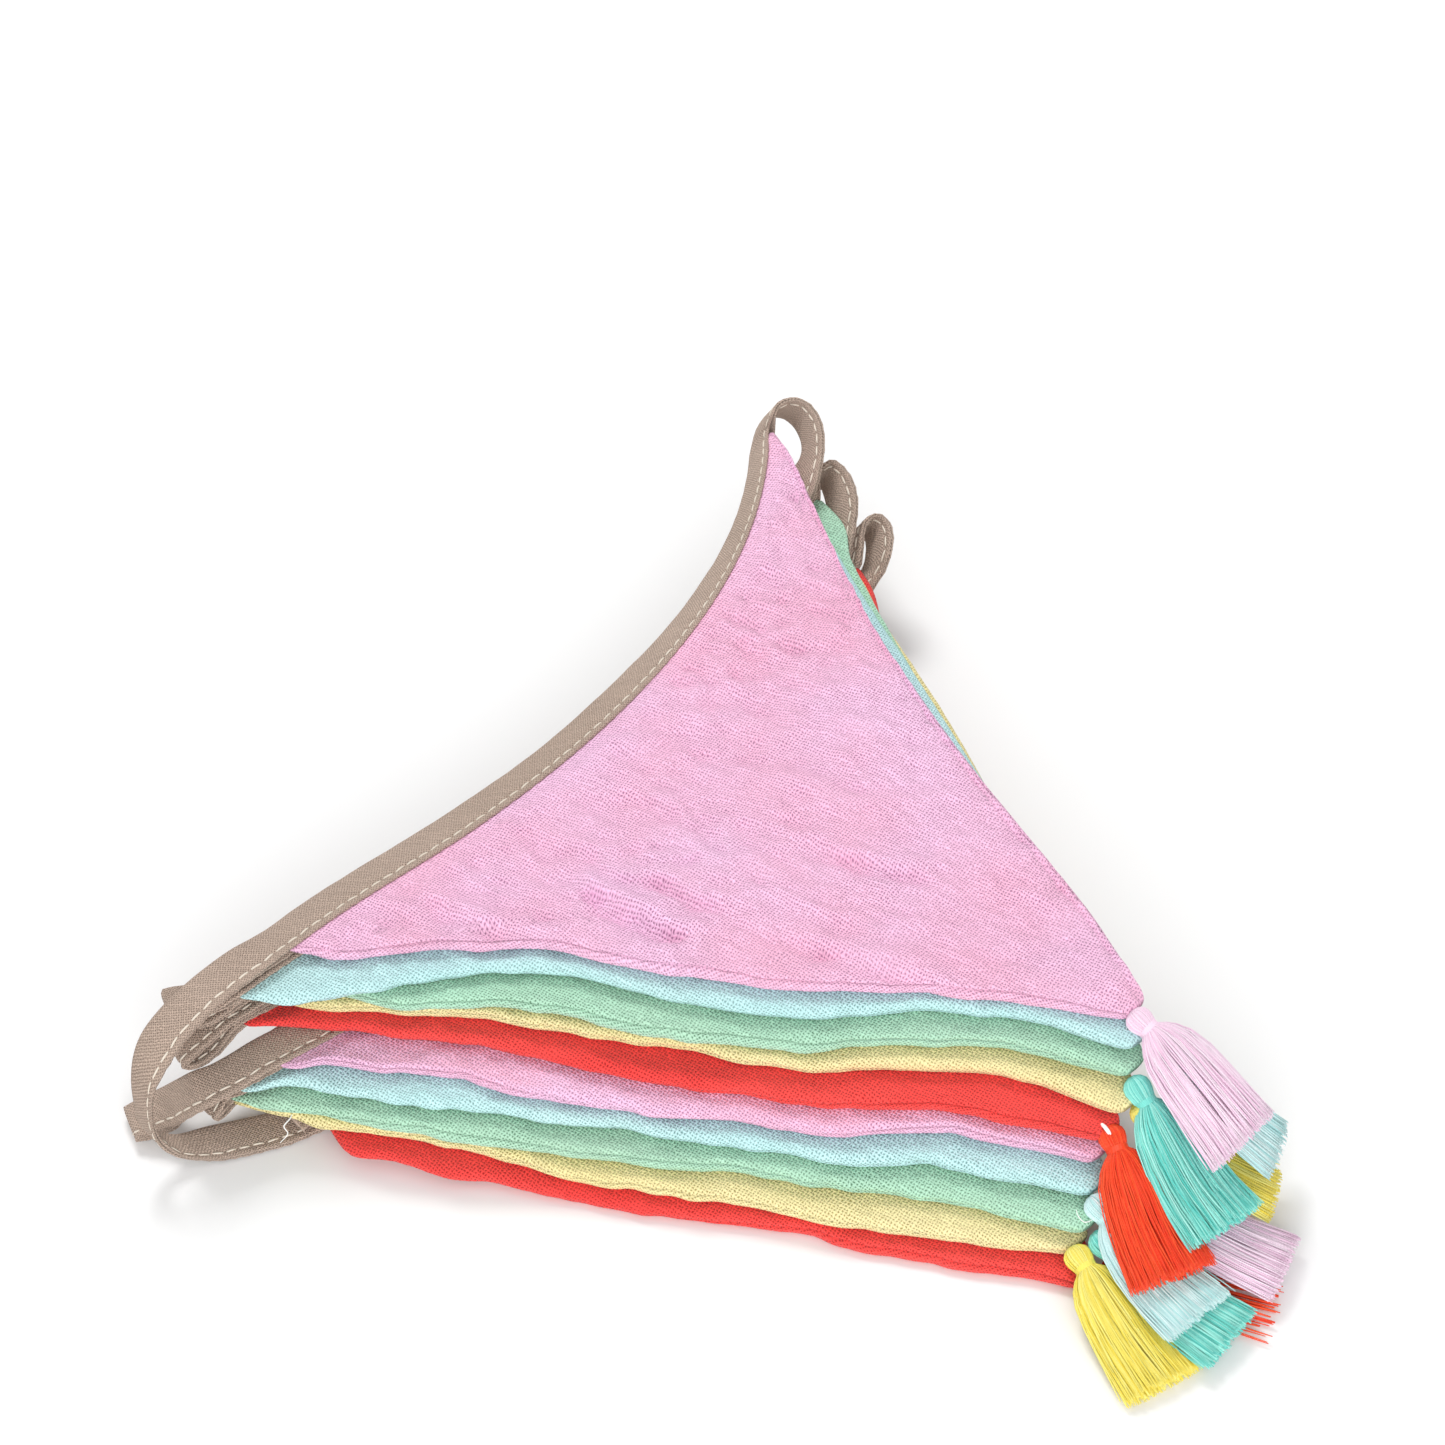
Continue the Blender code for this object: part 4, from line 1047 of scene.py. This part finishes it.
def cloth_material(name, colour, patch, look):
    """Woven cotton: yarns and holes, with painted shade in the holes and painted light on the raised yarn
    crossings, soft patches of a second tint, and a matt sheen.
    """
    material, tree, shader = new_material(name, {
        "Roughness": 0.92, "Sheen Weight": look.sheen, "Sheen Roughness": 0.6, "Specular IOR Level": 0.15})
    place = add_node(tree, "TexCoord", {}).outputs["Object"]
    weave = bpy.data.node_groups.get("Plain Weave") or weave_group()
    cloth = add_node(tree, "Group", {}, node_tree=weave)
    feed(tree, cloth, {"Map": add_node(tree, "UVMap", {}, uv_map="Cloth").outputs[0],
                       "Yarn Pitch": look.pitch, "Turn": look.turn, "Wander": look.wander})
    patches = colour_ramp(tree, noise(tree, place, 26.0, 3.0), (colour, patch), (0.35, 0.65))
    # Painted shade: the cloth colour is mixed towards the darker hole colour wherever the weave is open.
    holes = link_math(tree, "MULTIPLY", cloth.outputs["Hole"], look.hole_dark)
    painted_hole_shade_colour = (*[PAINTED_HOLE_SHADE * part ** PAINTED_HOLE_SHADE_POWER for part in colour], 1)
    deep = add_node(tree, "Mix", {"Factor": holes, "A": patches, "B": painted_hole_shade_colour}, data_type="RGBA")
    slubs = link_math(tree, "MULTIPLY_ADD", cloth.outputs["Slub"], 0.3, 0.87)
    # Painted light: yarns are lighter where they stand highest at the crossings and darker where they dip,
    # as if lit from above; the slubs multiplied in beside them are the yarns' own tone.
    yarns = link_math(tree, "MULTIPLY_ADD", cloth.outputs["Height"], 0.2, 0.86)
    slub_and_painted_light = add_node(tree, "CombineColor", dict.fromkeys(range(3), link_math(tree, "MULTIPLY", slubs, yarns)))
    darken = add_node(tree, "Mix", {"Factor": 1.0, "A": deep.outputs["Result"], "B": slub_and_painted_light.outputs[0]},
                      data_type="RGBA", blend_type="MULTIPLY")
    relief = link_math(tree, "MULTIPLY_ADD", noise(tree, place, 330.0, 2.0), 0.9, cloth.outputs["Height"])
    feed(tree, shader, {"Base Color": darken.outputs["Result"],
                        "Normal": bump_from(tree, relief, look.bump, 0.0004)})
    return material


def thread_material(name, colour, light):
    """Mercerised thread: each strand has its own shade and a fine twist."""
    material, tree, shader = new_material(name, {
        "Roughness": 0.42, "Sheen Weight": 0.05, "Specular IOR Level": 0.5})
    strand = add_node(tree, "UVMap", {}, uv_map="Cloth").outputs[0]
    split = add_node(tree, "SeparateXYZ", {0: strand}).outputs
    twist = link_math(tree, "SINE", link_math(tree, "MULTIPLY", split[0], 9000.0))
    feed(tree, shader, {"Base Color": colour_ramp(tree, split[1], (colour, light), (0.0, 1.0)),
                        "Normal": bump_from(tree, twist, 0.25, 0.0001)})
    return material


GAUZE = (
    ("Pink", (0.88, 0.54, 0.755), (0.90, 0.48, 0.66)),
    ("Aqua", (0.545, 0.80, 0.80), (0.50, 0.78, 0.79)),
    ("Green", (0.44, 0.69, 0.51), (0.44, 0.73, 0.54)),
    ("Yellow", (0.86, 0.74, 0.355), (0.88, 0.77, 0.41)),
    ("Red", (0.90, 0.058, 0.052), (0.93, 0.075, 0.065)),
)
THREAD = (
    ("Light Pink", (0.93, 0.64, 0.82), (0.99, 0.84, 0.94)),
    ("Light Aqua", (0.46, 0.80, 0.80), (0.80, 0.96, 0.96)),
    ("Teal", (0.10, 0.64, 0.56), (0.42, 0.92, 0.82)),
    ("Bright Yellow", (0.93, 0.75, 0.07), (0.97, 0.90, 0.26)),
    ("Orange Red", (0.91, 0.045, 0.01), (0.97, 0.10, 0.02)),
)
TAPE_COLOUR = (0.51, 0.39, 0.315)
TAPE_PATCH = (0.54, 0.415, 0.34)
STITCH_COLOUR = (0.74, 0.66, 0.56)
STITCH_LIGHT = (0.84, 0.77, 0.68)
WHITE_THREAD = ("White Thread", (0.84, 0.83, 0.8), (0.9, 0.9, 0.88))
LOWEST_TASSEL_THREADS = 26

Lamp = namedtuple("Lamp", "name place size power")
LAMPS = rows_of(
    Lamp,
    ("key", (-0.3, 0.72, 1.02), 0.4, 7.8),
    ("fill", (0.1, -1.25, 0.48), 1.5, 16.6),
)
ROOM_LIGHT = 0.66
FLOOR_SHADE = 0.89
LENS = 99.7
LENS_TILT = 42
CAMERA_PLACE = (0.0, -0.6357, 0.7060)


class GarlandSettings(bpy.types.PropertyGroup):
    """What a user would change about the garland's finish."""

    yarn_pitch: bpy.props.FloatProperty(
        name="Gauze yarn pitch", description="Distance between the yarns of the gauze",
        default=0.00074, min=0.0003, max=0.003, unit="LENGTH", precision=5)
    tape_colour: bpy.props.FloatVectorProperty(
        name="Tape colour", description="Colour of the bias tape", default=TAPE_COLOUR, size=3,
        subtype="COLOR")
    stitch_colour: bpy.props.FloatVectorProperty(
        name="Stitch colour", description="Colour of the sewing thread", default=STITCH_COLOUR, size=3,
        subtype="COLOR")
    threads: bpy.props.IntProperty(
        name="Threads", description="Threads in each tassel", default=450, min=60, max=450)


def settings():
    return bpy.context.scene.garland


class GARLAND_OT_pennants(bpy.types.Operator):
    """Make the ten gauze pennants of the stack"""

    bl_idname = "garland.pennants"
    bl_label = "Gauze pennants"

    def execute(self, context):
        # The hole entry is the strength of the painted shade in the gauze's weave holes.
        look = ClothLook(pitch=settings().yarn_pitch, turn=0.576, wander=0.25,
                         hole_dark=0.95, bump=0.75, sheen=0.12)
        finishes = [cloth_material(name + " Gauze", colour, patch, look) for name, colour, patch in GAUZE]
        for layer in range(1, LAYERS + 1):
            piece = make_pennant_piece(layer, finishes[(layer - 1) % 5])
            node = "pennant_%d" % layer
            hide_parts(node)
            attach(piece, "root")
        return {"FINISHED"}


class GARLAND_OT_tape(bpy.types.Operator):
    """Make the stitched bias tape with its running stitches"""

    bl_idname = "garland.tape"
    bl_label = "Bias tape"

    def execute(self, context):
        # The hole entry is the strength of the painted shade in the tape's weave holes.
        look = ClothLook(pitch=0.00055, turn=math.pi / 4, wander=0.06, hole_dark=0.75, bump=0.9, sheen=0.08)
        finish = cloth_material("Tan Tape", tuple(settings().tape_colour), TAPE_PATCH, look)
        thread = thread_material("Cream Stitching", tuple(settings().stitch_colour), STITCH_LIGHT)
        curve = tape_curve()
        tape = make_tape_piece(curve, finish)
        stitches = make_stitches_piece(curve, thread)
        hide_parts("bias_tape")
        for piece in (tape, stitches):
            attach(piece, "root")
        return {"FINISHED"}


class GARLAND_OT_tassels(bpy.types.Operator):
    """Make the ten thread tassels at the pennants' tips"""

    bl_idname = "garland.tassels"
    bl_label = "Tassels"

    def execute(self, context):
        finishes = [thread_material(name + " Thread", colour, light) for name, colour, light in THREAD]
        for number in range(1, LAYERS + 1):
            share = 1.0 if number % 2 else 0.75
            threads = int(settings().threads * share) if number < LAYERS else LOWEST_TASSEL_THREADS
            piece = make_tassel_piece(number, threads, finishes[(number - 1) % 5])
            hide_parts("tassel_%d" % number)
            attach(piece, "root")
        loose = make_loose_threads(thread_material(*WHITE_THREAD))
        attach(loose, "root")
        return {"FINISHED"}


class GARLAND_OT_stage(bpy.types.Operator):
    """Make the pale floor, the soft lights and the camera"""

    bl_idname = "garland.stage"
    bl_label = "Stage"

    def execute(self, context):
        bpy.ops.object.select_all(action="DESELECT")
        bpy.ops.mesh.primitive_plane_add(size=12, location=(0, 2.0, 0))
        floor = bpy.context.object
        floor.name = "floor"
        bpy.ops.object.transform_apply(location=True, rotation=True, scale=True)
        shade = (FLOOR_SHADE, FLOOR_SHADE, FLOOR_SHADE, 1)
        matt = {"Base Color": shade, "Roughness": 0.9, "Specular IOR Level": 0.1}
        floor.data.materials.append(new_material("Pale Floor", matt)[0])
        scene = bpy.context.scene
        world = bpy.data.worlds.new("Soft Room")
        world.use_nodes = True
        feed(world.node_tree, world.node_tree.nodes["Background"], {0: (1, 1, 1, 1), 1: ROOM_LIGHT})
        scene.world = world
        for name, place, size, power in LAMPS:
            light = bpy.data.lights.new(name, "AREA")
            light.size = size
            light.energy = power
            lamp = bpy.data.objects.new(name, light)
            scene.collection.objects.link(lamp)
            lamp.location = place
            lamp.rotation_euler = (-Vector(place)).to_track_quat("-Z", "Y").to_euler()
        scene.view_settings.view_transform = "Standard"
        lens = bpy.data.cameras.new("camera")
        lens.lens = LENS
        lens.sensor_width = 36
        camera = bpy.data.objects.new("camera", lens)
        camera.location = Vector(CAMERA_PLACE) - Vector(CENTRE) * MM
        camera.rotation_euler = (math.radians(LENS_TILT), 0, 0)
        scene.collection.objects.link(camera)
        scene.camera = camera
        return {"FINISHED"}


class GARLAND_PT_panel(bpy.types.Panel):
    """Lists what makes up the garland"""

    bl_label = "Garland"
    bl_idname = "GARLAND_PT_panel"
    bl_space_type = "VIEW_3D"
    bl_region_type = "UI"
    bl_category = "Garland"

    def draw(self, context):
        for name in ("yarn_pitch", "tape_colour", "stitch_colour", "threads"):
            self.layout.prop(context.scene.garland, name)
        for operator in OPERATORS:
            self.layout.operator(operator.bl_idname)


OPERATORS = (GARLAND_OT_stage, GARLAND_OT_pennants, GARLAND_OT_tape, GARLAND_OT_tassels)
CLASSES = (GarlandSettings, *OPERATORS, GARLAND_PT_panel)


def register():
    for kind in CLASSES:
        bpy.utils.register_class(kind)
    bpy.types.Scene.garland = bpy.props.PointerProperty(type=GarlandSettings)


def unregister():
    del bpy.types.Scene.garland
    for kind in reversed(CLASSES):
        bpy.utils.unregister_class(kind)


def main():
    register()
    bpy.ops.object.select_all(action="DESELECT")
    bpy.ops.garland.stage()
    bpy.ops.garland.pennants()
    bpy.ops.garland.tape()
    bpy.ops.garland.tassels()


if __name__ == "__main__":
    main()
